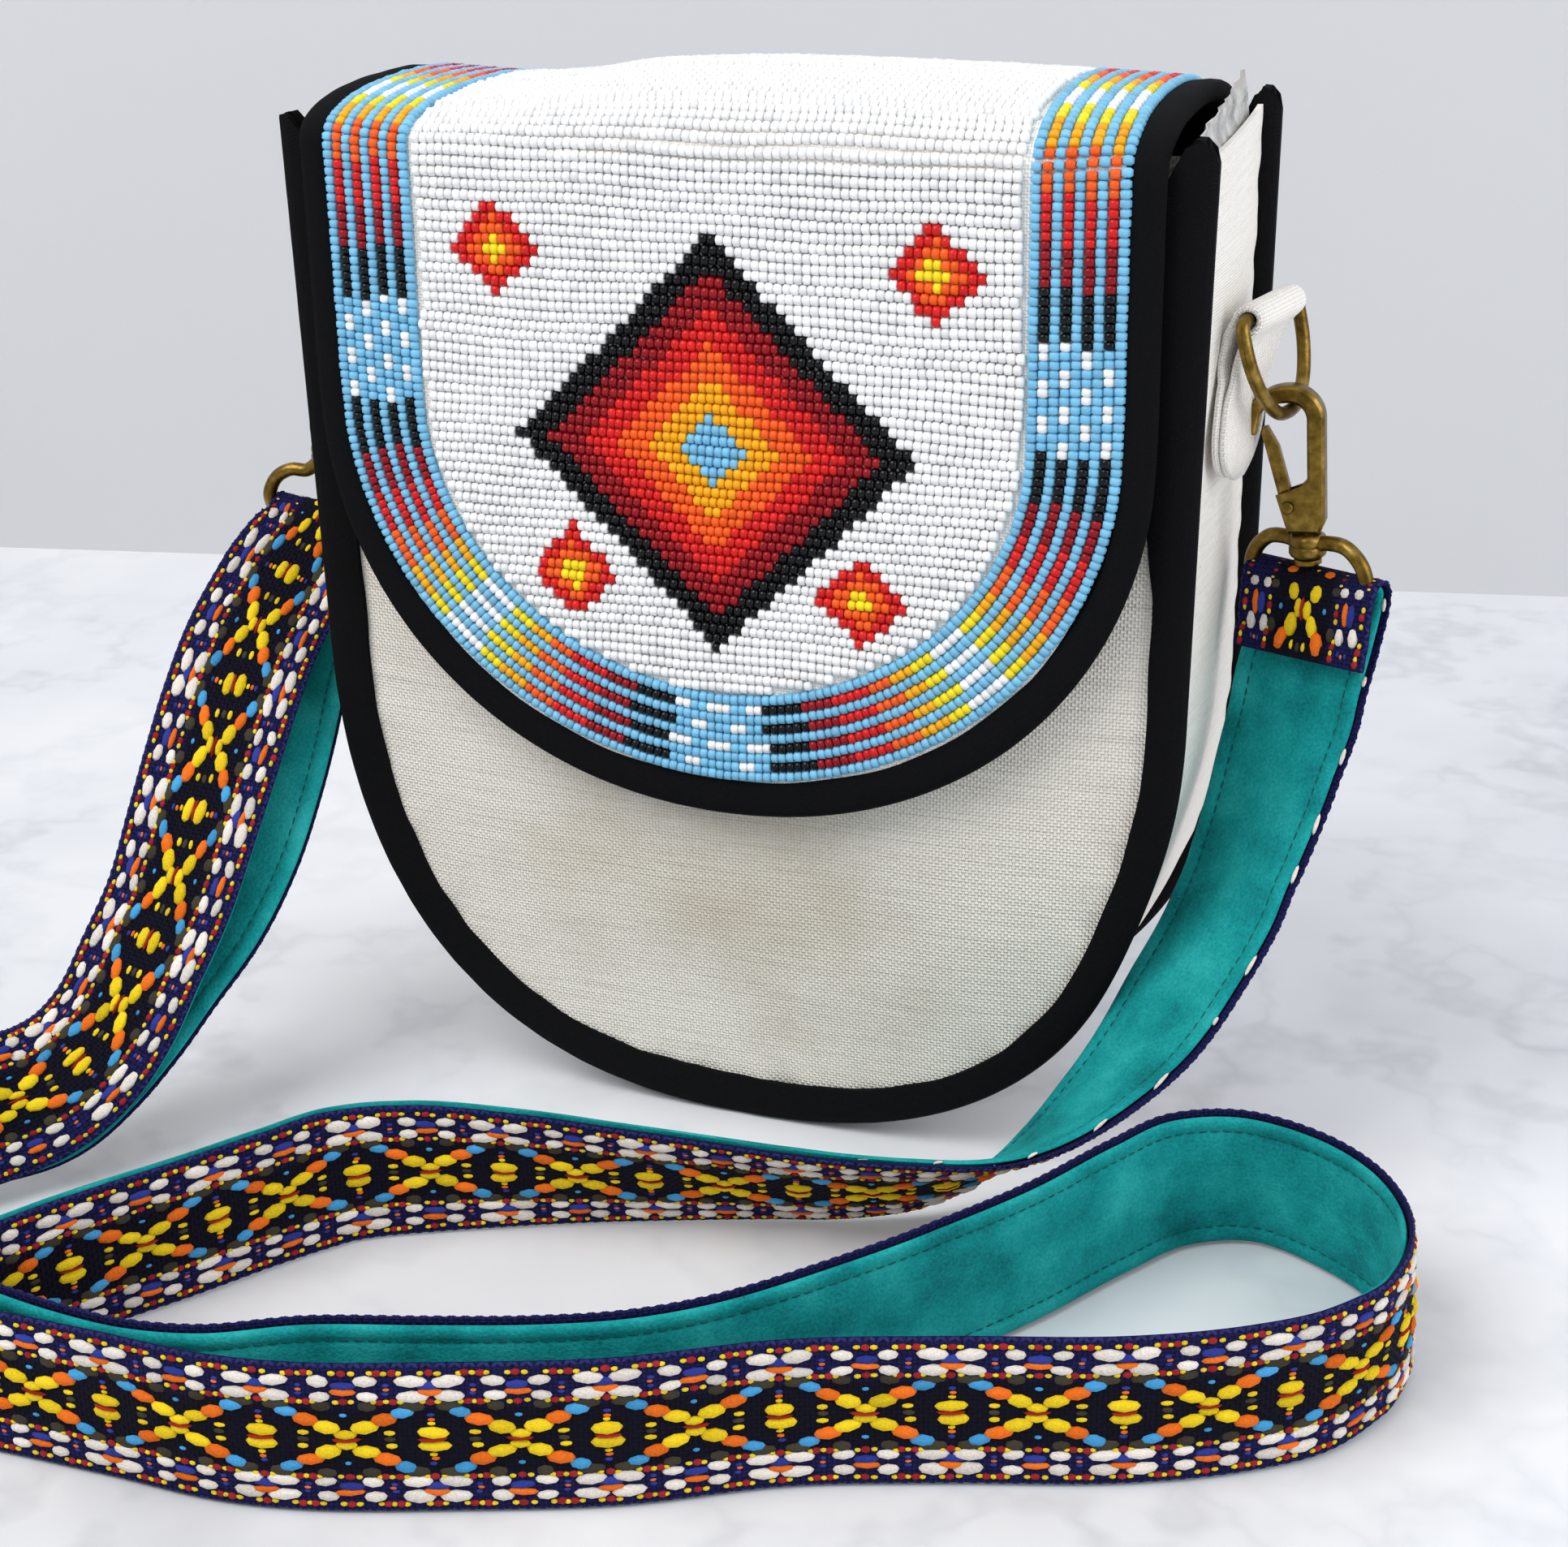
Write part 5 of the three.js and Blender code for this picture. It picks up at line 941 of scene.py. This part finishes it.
def field_colour(x, z):
    """The colour of a bead inside the border: nested diamonds on white."""
    reach = abs(x) + abs(z - MOTIF_HEIGHT)
    if reach < MOTIF_HALF:
        return MOTIF_COLOURS[int((MOTIF_HALF - reach) / (MOTIF_HALF / len(MOTIF_COLOURS)))]
    for cx, cz in CORNER_MIDDLES:
        reach = abs(x - cx) + abs(z - cz)
        if reach < CORNER_HALF:
            return CORNER_COLOURS[int(reach / CORNER_STEP)]
    return "white"


def border_beads():
    """The border's beads in the flat: place, direction and colour."""
    rows = []
    shared = ways(flap_row(BORDER_START + BEAD_ROW * BORDER_ROWS / 2, BORDER_EDGE))
    for row in range(BORDER_ROWS):
        line = flap_row(BORDER_START + BEAD_ROW * (row + 0.5), BORDER_EDGE)
        way = ways(line)
        middle = way[-1] / 2
        count = int(middle / BEAD_PITCH)
        at = middle + np.arange(-count, count + 1) * BEAD_PITCH
        at = at[(at > 1) & (at < way[-1] - 1)]
        ahead = unit(on_path(line, way, at + 0.5) - on_path(line, way, at - 0.5))
        from_middle = np.abs(np.interp(at, way, shared) - shared[-1] / 2)
        for place, direction, distance in zip(on_path(line, way, at), ahead, from_middle):
            rows.append((*place, *direction, border_colour(distance, row)))
    return rows


def field_beads():
    """The beads inside the border, in waving rows across the flap: place, direction and colour."""
    rows = []
    edge = right_half(flap_row(FIELD_MARGIN, BORDER_EDGE), 1)
    low = edge[0, 1]
    for j in range(int((FLAP_LENGTH - low) / BEAD_ROW)):
        along = low + BEAD_ROW * (j + 0.5)
        reach = np.interp(along, edge[:, 1], edge[:, 0])
        beads = int(2 * reach / BEAD_PITCH)
        start = -beads * BEAD_PITCH / 2 + draw.uniform(0, BEAD_PITCH * 0.5)
        for i in range(beads):
            x = start + BEAD_PITCH * (i + 0.25)
            wave = 0.3 * math.sin(x / 17 + j * 0.21) + 0.2 * math.sin(x / 7.3 - j * 0.4)
            tint = field_colour(x, FLAP_BOTTOM + along) if along < BEND_START else "white"
            rows.append((x, along + wave, 1.0, 0.0, tint))
    return rows


def make_beads():
    rows = border_beads() + field_beads()
    count = len(rows)
    flat = np.array([row[:4] for row in rows])
    tints = np.array([row[4] for row in rows])
    x, along = (flat[:, k] + draw.normal(0, BEAD_STRAY, count) for k in (0, 1))
    dx, dy = flat[:, 2] / 2, flat[:, 3] / 2
    middles = flap_point(x, along, BEAD_STAND + draw.normal(0, BEAD_STRAY, count))
    ahead = unit(flap_middle(x + dx, along + dy) - flap_middle(x - dx, along - dy))
    out = unit(flap_normal(x, along) + draw.normal(0, BEAD_STRAY, (count, 3)))
    ahead = unit(ahead + draw.normal(0, BEAD_STRAY, (count, 3)))
    across = unit(np.cross(out, ahead))
    out = np.cross(ahead, across)
    size = (1 + draw.normal(0, 0.025, count))[:, None, None]
    axes = np.stack([ahead * BEAD_LENGTH, across * BEAD_DIAMETER, out * BEAD_DIAMETER], axis=1) * size
    tones = np.clip(draw.normal(0.62, 0.2, count), 0, 1)
    top = along > BEND_START + 4
    form = bead_form()
    for tint, nodes in BEAD_FIELDS.items():
        for part, where in (("front", ~top), ("top", top)):
            chosen = (tints == tint) & where
            if not chosen.any():
                continue
            piece = copies(f"beads_{tint}_{part}", form, axes[chosen], middles[chosen], tones[chosen])
            dress(piece, GLASS[tint], stands_for=nodes if part == "front" else ())
    bpy.data.objects.remove(form)


# Side tabs, rings and loops

def to_side(points, side):
    """Moves points drawn for the right side to their side of the bag."""
    turn = 1 if side == "right" else -1
    return points * (turn, turn, 1) + (0, SIDE_SHIFT, 0)


def tab_line():
    """The tab's middle line, x and z: up the gusset, round the ring's bar and down again."""
    loop = RING_WIRE / 2 + 0.3 + TAB_LAYER / 2
    turn = np.linspace(math.radians(176), math.radians(-46), 15)
    fold = [(RING_BAR[0] + loop * math.cos(t), RING_BAR[1] + loop * math.sin(t)) for t in turn]
    inner, outer = TAB_BACK + TAB_LAYER / 2, TAB_BACK + TAB_LAYER * 1.5 + 0.1
    rise = [(inner, TAB_FOOT + 1), (inner, TAB_FOOT + 12), (inner, TAB_BEND - 2),
            (inner + 0.6, TAB_BEND + 4), (inner + 2.6, TAB_BEND + 10)]
    fall = [(outer + 4.4, TAB_BEND + 8.5), (outer + 1.6, TAB_BEND + 2), (outer + 0.2, TAB_BEND - 4),
            (outer, TAB_FOOT + 12), (outer, TAB_FOOT)]
    line, _ = evenly(smooth_path(rise + fold + fall, 5), 1.1)
    line[-1] = (outer, TAB_FOOT)
    return line


def tab_piece(side):
    """A canvas strip sewn flat on the gusset with a round tongue, folded over the ring's bar."""
    line = tab_line()
    normals = inward(line)
    z = line[:, 1]
    height = np.clip(z - TAB_FOOT, 0.35, TAB_HALF)
    narrow = 1 - 0.05 * np.clip((z - TAB_BEND) / 14, 0, 1)
    half = np.sqrt(TAB_HALF**2 - (TAB_HALF - height) ** 2) * narrow
    rise = np.clip((z - TAB_BEND) / (RING_BAR[1] - 3.65 - TAB_BEND), 0, 1)[:, None]
    fall = np.clip((TAB_BEND + 8 - z) / (TAB_BEND + 8 - TAB_FOOT), 0, 1)[:, None]
    profile = np.array([(y, -t) for y, t in TAB_PROFILE] + TAB_PROFILE[::-1])
    y = profile[None, :, 0] * half[:, None]
    off = profile[None, :, 1] * TAB_LAYER / 2
    lean = rise * y + (1 - rise) * 0.7 * (y + TAB_HALF)
    x = line[:, None, 0] + normals[:, None, 0] * off + TAB_SKEW * lean
    z = line[:, None, 1] + normals[:, None, 1] * off
    return swept_piece("tab_cloth_" + side, to_side(np.stack([x, y + TAB_SLANT * fall, z], axis=2), side))


def ring_piece(side):
    half = TAB_HALF + 1.2 + RING_WIRE / 2
    flat = RING_BOW + [(-x, y) for x, y in RING_BOW[-2:0:-1]]
    bar = unit(np.array((TAB_SKEW, 1, 0)))
    up = np.array((-RING_LEAN, 0, math.sqrt(1 - RING_LEAN**2)))
    up = unit(up - bar * (up @ bar))
    at = np.array((RING_BAR[0], 0, RING_BAR[1]))
    curve = smooth_path([at + bar * x * half + up * y * RING_DROP for x, y in flat], 8, closed=True)
    turn = 1 if side == "right" else -1
    normal = unit(np.cross(bar, up)) * (turn, turn, 1)
    return wire_piece("ring_" + side, to_side(curve, side), normal, RING_WIRE - RING_PLAY)


def loop_to_bag(points, side):
    """Points of a loop's own frame, on their side of the bag."""
    x, y, z = np.moveaxis(np.asarray(points, float), -1, 0)
    cos, sin = math.cos(-LOOP_TURN[side]), math.sin(-LOOP_TURN[side])
    x, y = x * cos - y * sin, x * sin + y * cos
    cos, sin = math.cos(HOOK_TILT), math.sin(HOOK_TILT)
    tilted = np.stack([HOOK_BASE[0] + x * cos - z * sin, y, HOOK_BASE[1] + x * sin + z * cos], axis=-1)
    return to_side(tilted, side)


def loop_piece(side):
    """The loop that carries the strap, with the round collar that the hook turns in."""
    bar, arch = -LOOP_BAR_DROP[side], -COLLAR_GAP - COLLAR_HEIGHT / 2
    shoulder = [(share, arch + rise) for share, rise in ((0, 0), *LOOP_SHOULDERS[side])]
    foot = [(share, bar + rise) for share, rise in LOOP_FOOT]
    half = [(LOOP_HALF[side] * share, z) for share, z in shoulder + foot]
    flat = half + [(-x, z) for x, z in half[-2:0:-1]]
    curve = smooth_path([(x, 0, z) for x, z in flat], 6, closed=True)
    normal = loop_to_bag((0, 1, 0), side) - loop_to_bag((0, 0, 0), side)
    loop = wire_piece("loop_wire_" + side, loop_to_bag(curve, side), normal, LOOP_WIRE)
    profile = [(radius, arch + share * COLLAR_HEIGHT) for radius, share in COLLAR_PROFILE]
    turns = np.linspace(0, 2 * PI, 28, endpoint=False)
    rings = [[(r * math.cos(t), r * math.sin(t), z) for r, z in profile] for t in turns]
    collar = swept_piece("loop_collar_" + side, loop_to_bag(rings, side), closed=True)
    pick(loop)
    collar.select_set(True)
    bpy.ops.object.join()
    loop.name = "strap_loop_" + side
    return loop


def metal_copy(node, bevel):
    """A piece with the node's own shape, its edges rounded."""
    piece = new_object(node + "_piece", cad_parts[node].data.copy())
    pick(piece)
    bpy.ops.object.mode_set(mode="EDIT")
    bpy.ops.mesh.select_all(action="SELECT")
    bpy.ops.mesh.remove_doubles(threshold=0.00001)
    bpy.ops.mesh.dissolve_limited(angle_limit=math.radians(2))
    bpy.ops.object.mode_set(mode="OBJECT")
    apply(piece, "BEVEL", width=bevel * MM, segments=2, limit_method="ANGLE", angle_limit=math.radians(32),
          use_clamp_overlap=True)
    soften(piece, 40)
    return piece


def make_hardware():
    for side in ("right", "left"):
        dress(tab_piece(side), WHITE_CANVAS, stands_for=["tab_" + side])
        dress(ring_piece(side), BRASS, stands_for=["d_ring_" + side])
        dress(loop_piece(side), BRASS, stands_for=["swivel_loop_" + side])
        for node, body, bevel in METAL_COPIES:
            piece = metal_copy(f"{node}_{side}", bevel)
            dress(piece, BRASS, body=f"{body}_{side}", stands_for=[f"{node}_{side}"])
        paint(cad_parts["gate_spring_" + side], STEEL)


def make_film():
    """The torn end of clear film that stands on the gusset's right top edge."""
    y = np.linspace(-GUSSET_HALF, GUSSET_HALF * 0.8, 25)
    up = np.linspace(0, 1, 12)[:, None]
    z = FILM_FOOT + up * np.interp(y / GUSSET_HALF, *FILM_TOP)[None]
    crease = waves(y, (9, 14, 6), 51)[None] * up + 0.6 * waves(z, (7, 11), 53)
    x = FILM_BACK - up * 1.2 + 0.8 * crease
    film = sheet_piece("film_end", np.stack([x, np.broadcast_to(y, z.shape), z], axis=2), 0.35)
    dress(film, clear_film(), stands_for=["film_tab"])


# Strap

def strap_line():
    """The strap's middle line, with its directions: along, to its braided edge, and to its lining."""
    stations = np.array(STRAP_STATIONS, float)
    steps = 10
    middle = smooth_path(stations[:, :3], steps)
    edge = smooth_path(stations[:, 3:6], steps)
    share = np.interp(np.arange(len(middle)) / steps, np.arange(len(stations)), stations[:, 6])
    way = ways(middle)
    at = np.arange(0, way[-1], STRAP_STEP)
    middle, edge, share = on_path(middle, way, at), on_path(edge, way, at), np.interp(at, way, share)
    along = unit(np.gradient(middle, axis=0))
    edge = unit(edge - along * np.einsum("ij,ij->i", edge, along)[:, None])
    return {"at": at, "middle": middle, "along": along, "edge": edge, "face": np.cross(along, edge),
            "share": share, "thick": np.interp(at, *TAIL_THICKNESS)}


def strap_layer(name, line, section, shift):
    """One layer of the strap: a section along its line, shifted toward its braided edge."""
    section = np.array(section)
    width = section[None, :, 0] * line["share"][:, None] + np.reshape(shift, (-1, 1))
    depth = section[None, :, 1] * line["thick"][:, None]
    rings = (line["middle"][:, None] + line["edge"][:, None] * width[..., None]
             + line["face"][:, None] * depth[..., None])
    return swept_piece(name, rings)


def float_form():
    """One float of yarn: long along X, flat below."""
    bpy.ops.object.select_all(action="DESELECT")
    bpy.ops.mesh.primitive_uv_sphere_add(segments=8, ring_count=4, radius=0.5, rotation=(0, PI / 2, 0))
    form = bpy.context.object
    bpy.ops.object.transform_apply(location=False, rotation=True, scale=False)
    for vertex in form.data.vertices:
        blunt = 1 - 0.25 * abs(vertex.co.x) ** 2
        vertex.co.z = vertex.co.z * blunt if vertex.co.z > 0 else vertex.co.z * 0.35
    return form


def repeat_floats():
    """The floats of one repeat: colour, way along, place across, length, width, height and turn."""
    rows = []

    def put(tint, s, v, long, wide, high, turn=0.0):
        rows.append((tint, s * STRAP_REPEAT / REPEAT_DRAWN, v, long, wide, high, turn))

    for half in (1, -1):
        for centre, apart, long, wide in ((0, 4.2, 7.4, 3.4), (20, 5.4, 5.2, 2.9)):
            for end in (1, -1):
                put("white", centre + end * apart, half * 14.7, long, wide, 1.15, 4 * end)
                put("white", centre + end * apart, half * 10.9, long, wide * 0.92, 1.1, -4 * end)
                put("olive", centre + end * apart, half * 8.5, long * 0.85, 3.0, 0.75)
            put("blue", centre, half * 12.8 + 0.8, 6.0, 2.4, 0.85)
            put("orange", centre, half * 12.8 - 0.85, 6.6, 1.9, 1.0)
        for s in (10, 30):
            put("blue", s, half * 13.6, 1.7, 1.1, 0.5)
            put("orange", s, half * 12.6, 1.6, 0.9, 0.5)
            put("blue", s, half * 11.6, 1.7, 1.1, 0.5)
        for v in (16.7, 9.55):
            for s in (0, 8.4, 11.6, 20, 28.4, 31.6):
                put("red", s, half * v, 2.3, 1.8, 0.75)
            for s in (2.0, 6.9, 10, 13.1, 18, 22, 26.9, 30, 33.1, 38):
                put("yellow", s, half * v, 1.7, 1.2, 0.7)
        put("yellow", 0, half * 1.7, 7.4, 3.4, 1.3)
        put("yellow", 20, half * 1.3, 5.2, 2.4, 1.2)
        for v, tint in ((3.9, "yellow"), (5.0, "orange"), (6.2, "blue")):
            put(tint, 0, half * v, 1.9, 1.1, 0.6)
        put("sky", 20, half * 6.2, 1.8, 1.1, 0.6)
        for end in (1, -1):
            put("yellow", 20 + end * 4.3, half * 3.1, 6.6, 3.6, 1.35, end * half * 9)
            put("orange", 20 + end * 9.0, half * 5.1, 6.4, 3.5, 1.25, end * half * 9)
            put("sky", 20 + end * 13.3, half * 7.1, 5.6, 3.0, 1.1, end * half * 9)
        for s in (9.9, 30.1):
            put("yellow", s, half * 1.7, 2.8, 1.4, 0.7)
    for s in (0, 20):
        put("red", s, 0, 6.6, 0.9, 1.35)
    for s in (9.9, 30.1):
        put("olive", s, 0, 2.8, 1.5, 0.6)
    return rows


def strap_floats(line):
    """All floats on the band by colour, lower and shorter at tight bends and in the slider."""
    length = line["at"][-1]
    bend = np.linalg.norm(np.gradient(line["along"], axis=0), axis=1) / STRAP_STEP
    in_slider = np.linalg.norm(line["middle"] - SLIDER_MIDDLE, axis=1) < SLIDER_REACH
    floats = {tint: [] for tint in YARN}
    pattern = repeat_floats()
    for start in np.arange(PATTERN_START - STRAP_REPEAT / 2, length, STRAP_REPEAT):
        for tint, s, v, long, wide, high, turn in pattern:
            at = start + s
            if not long / 2 < at < length - long / 2:
                continue
            i = int(at / STRAP_STEP)
            shorter = 1 / (1 + 6 * max(0, bend[max(i - 2, 0): i + 3].max() - 0.03))
            low = 0.35 if in_slider[min(i, len(in_slider) - 1)] else 1.0
            grow = 1 + draw.normal(0, 0.05)
            floats[tint].append((
                at + draw.normal(0, 0.15), v + draw.normal(0, 0.08), long * shorter * grow,
                wide * (1 + draw.normal(0, 0.06)), high * low * shorter, turn + draw.normal(0, 2.5),
            ))
    for k, at in enumerate(np.arange(1.0, length - 1, 1.5)):
        slant = 30 if k % 2 else -30
        floats["navy"].append((at, 18.3, 2.0, 0.95, 0.55, slant))
        floats["navy"].append((at, -18.3, 2.0, 0.85, 0.45, slant))
    return floats


def strap_copies(name, line, form, rows, lift, side=-1):
    """Copies of a form on the strap; rows give way, across, length, width, height and turn."""
    s, v, long, wide, high, turn = np.array(rows, float).T[..., None]
    at = s[:, 0]
    middle = on_path(line["middle"], line["at"], at)
    along, edge, face = (unit(on_path(line[key], line["at"], at)) for key in ("along", "edge", "face"))
    share, thick = (np.interp(s, line["at"], line[key]) for key in ("share", "thick"))
    out = face * side
    turn = np.radians(turn)
    ahead = along * np.cos(turn) + edge * np.sin(turn)
    across = np.cross(out, ahead)
    axes = np.stack([ahead * long, across * wide * share, out * high * 2], axis=1)
    middles = middle + edge * v * share + out * lift * thick
    tones = np.clip(draw.normal(0.55, 0.2, len(at)), 0, 1)
    return copies(name, form, axes, middles, tones)


def make_strap():
    line = strap_line()
    length = line["at"][-1]
    band = strap_layer("strap_band_cloth", line, BAND_SECTION, 0.0)
    dress(band, band_ground(), stands_for=["strap_band"])
    lining = strap_layer("strap_suede", line, LINING_SECTION, np.interp(line["at"], *LINING_SHIFT))
    dress(lining, teal_suede(), stands_for=["strap_lining"])
    form = float_form()
    for tint, rows in strap_floats(line).items():
        piece = strap_copies("strap_yarn_" + tint, line, form, rows, 0.75 if tint == "navy" else 1.05)
        dress(piece, YARN[tint])
    stitches = [(at, v, 2.3, 0.55, 0.3, 0) for at in np.arange(4.0, length - 4, 3.1) for v in (13.7, -13.9)]
    thread = strap_copies("strap_lining_stitches", line, form, stitches, 1.35, side=1)
    dress(thread, yarn("thread_teal", colour(6, 96, 100)))
    at = np.arange(30.0, DASHES_END, STRAP_REPEAT / 2)
    at = at + draw.normal(0, 1.5, len(at))
    ends = [(s, 17.9, long, 1.2, 0.6, 0) for s, long in zip(at, draw.uniform(2.5, 6.5, len(at)))]
    dashes = strap_copies("strap_edge_dashes", line, form, ends, 0.75, side=1)
    dress(dashes, YARN["white"])
    bpy.data.objects.remove(form)
    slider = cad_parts["slider"]
    paint(slider, BRASS)


# Stage

def set_camera():
    lens = bpy.data.cameras.new("camera")
    lens.sensor_width = SENSOR_WIDTH
    lens.lens = SENSOR_WIDTH * LENS_SHARE
    lens.clip_start, lens.clip_end = 0.02, 20
    camera = new_object("camera", lens)
    turn = Matrix((CAMERA_RIGHT, CAMERA_UP, CAMERA_BACK)).transposed().to_4x4()
    camera.matrix_world = Matrix.Translation(Vector(CAMERA_PLACE) * MM) @ turn
    bpy.context.scene.camera = camera


def stage_plane(name, material, **place):
    bpy.ops.mesh.primitive_plane_add(size=6.0, **place)
    plane = bpy.context.object
    plane.name = name
    paint(plane, material)
    return plane


def set_stage():
    """A pale stone floor, a white wall behind it, and soft light."""
    bpy.ops.object.select_all(action="DESELECT")
    floor = stage_plane("floor", pale_stone(), location=(0, 0, -0.0002))
    turn = (PI / 2, 0, math.radians(12.2))
    wall = stage_plane("wall", wall_paint(), location=(-0.03, 0.43, 1.5), rotation=turn)
    for name, (place, aim, size, power, tint) in LIGHTS.items():
        lamp = bpy.data.lights.new(name, "AREA")
        lamp.energy, lamp.size, lamp.color = power, size, tint
        light = new_object(name, lamp)
        light.location = place
        light.rotation_euler = (Vector(aim) - Vector(place)).to_track_quat("-Z", "Y").to_euler()
    world = bpy.data.worlds.new("room")
    bpy.context.scene.world = world
    world.use_nodes = True
    sky = world.node_tree.nodes["Background"]
    sky.inputs["Color"].default_value = colour(236, 240, 246)
    sky.inputs["Strength"].default_value = 0.6
    bpy.context.scene.view_settings.view_transform = "Standard"


set_camera()
make_strap()
make_bag()
make_flap()
make_beads()
make_hardware()
make_film()
set_stage()
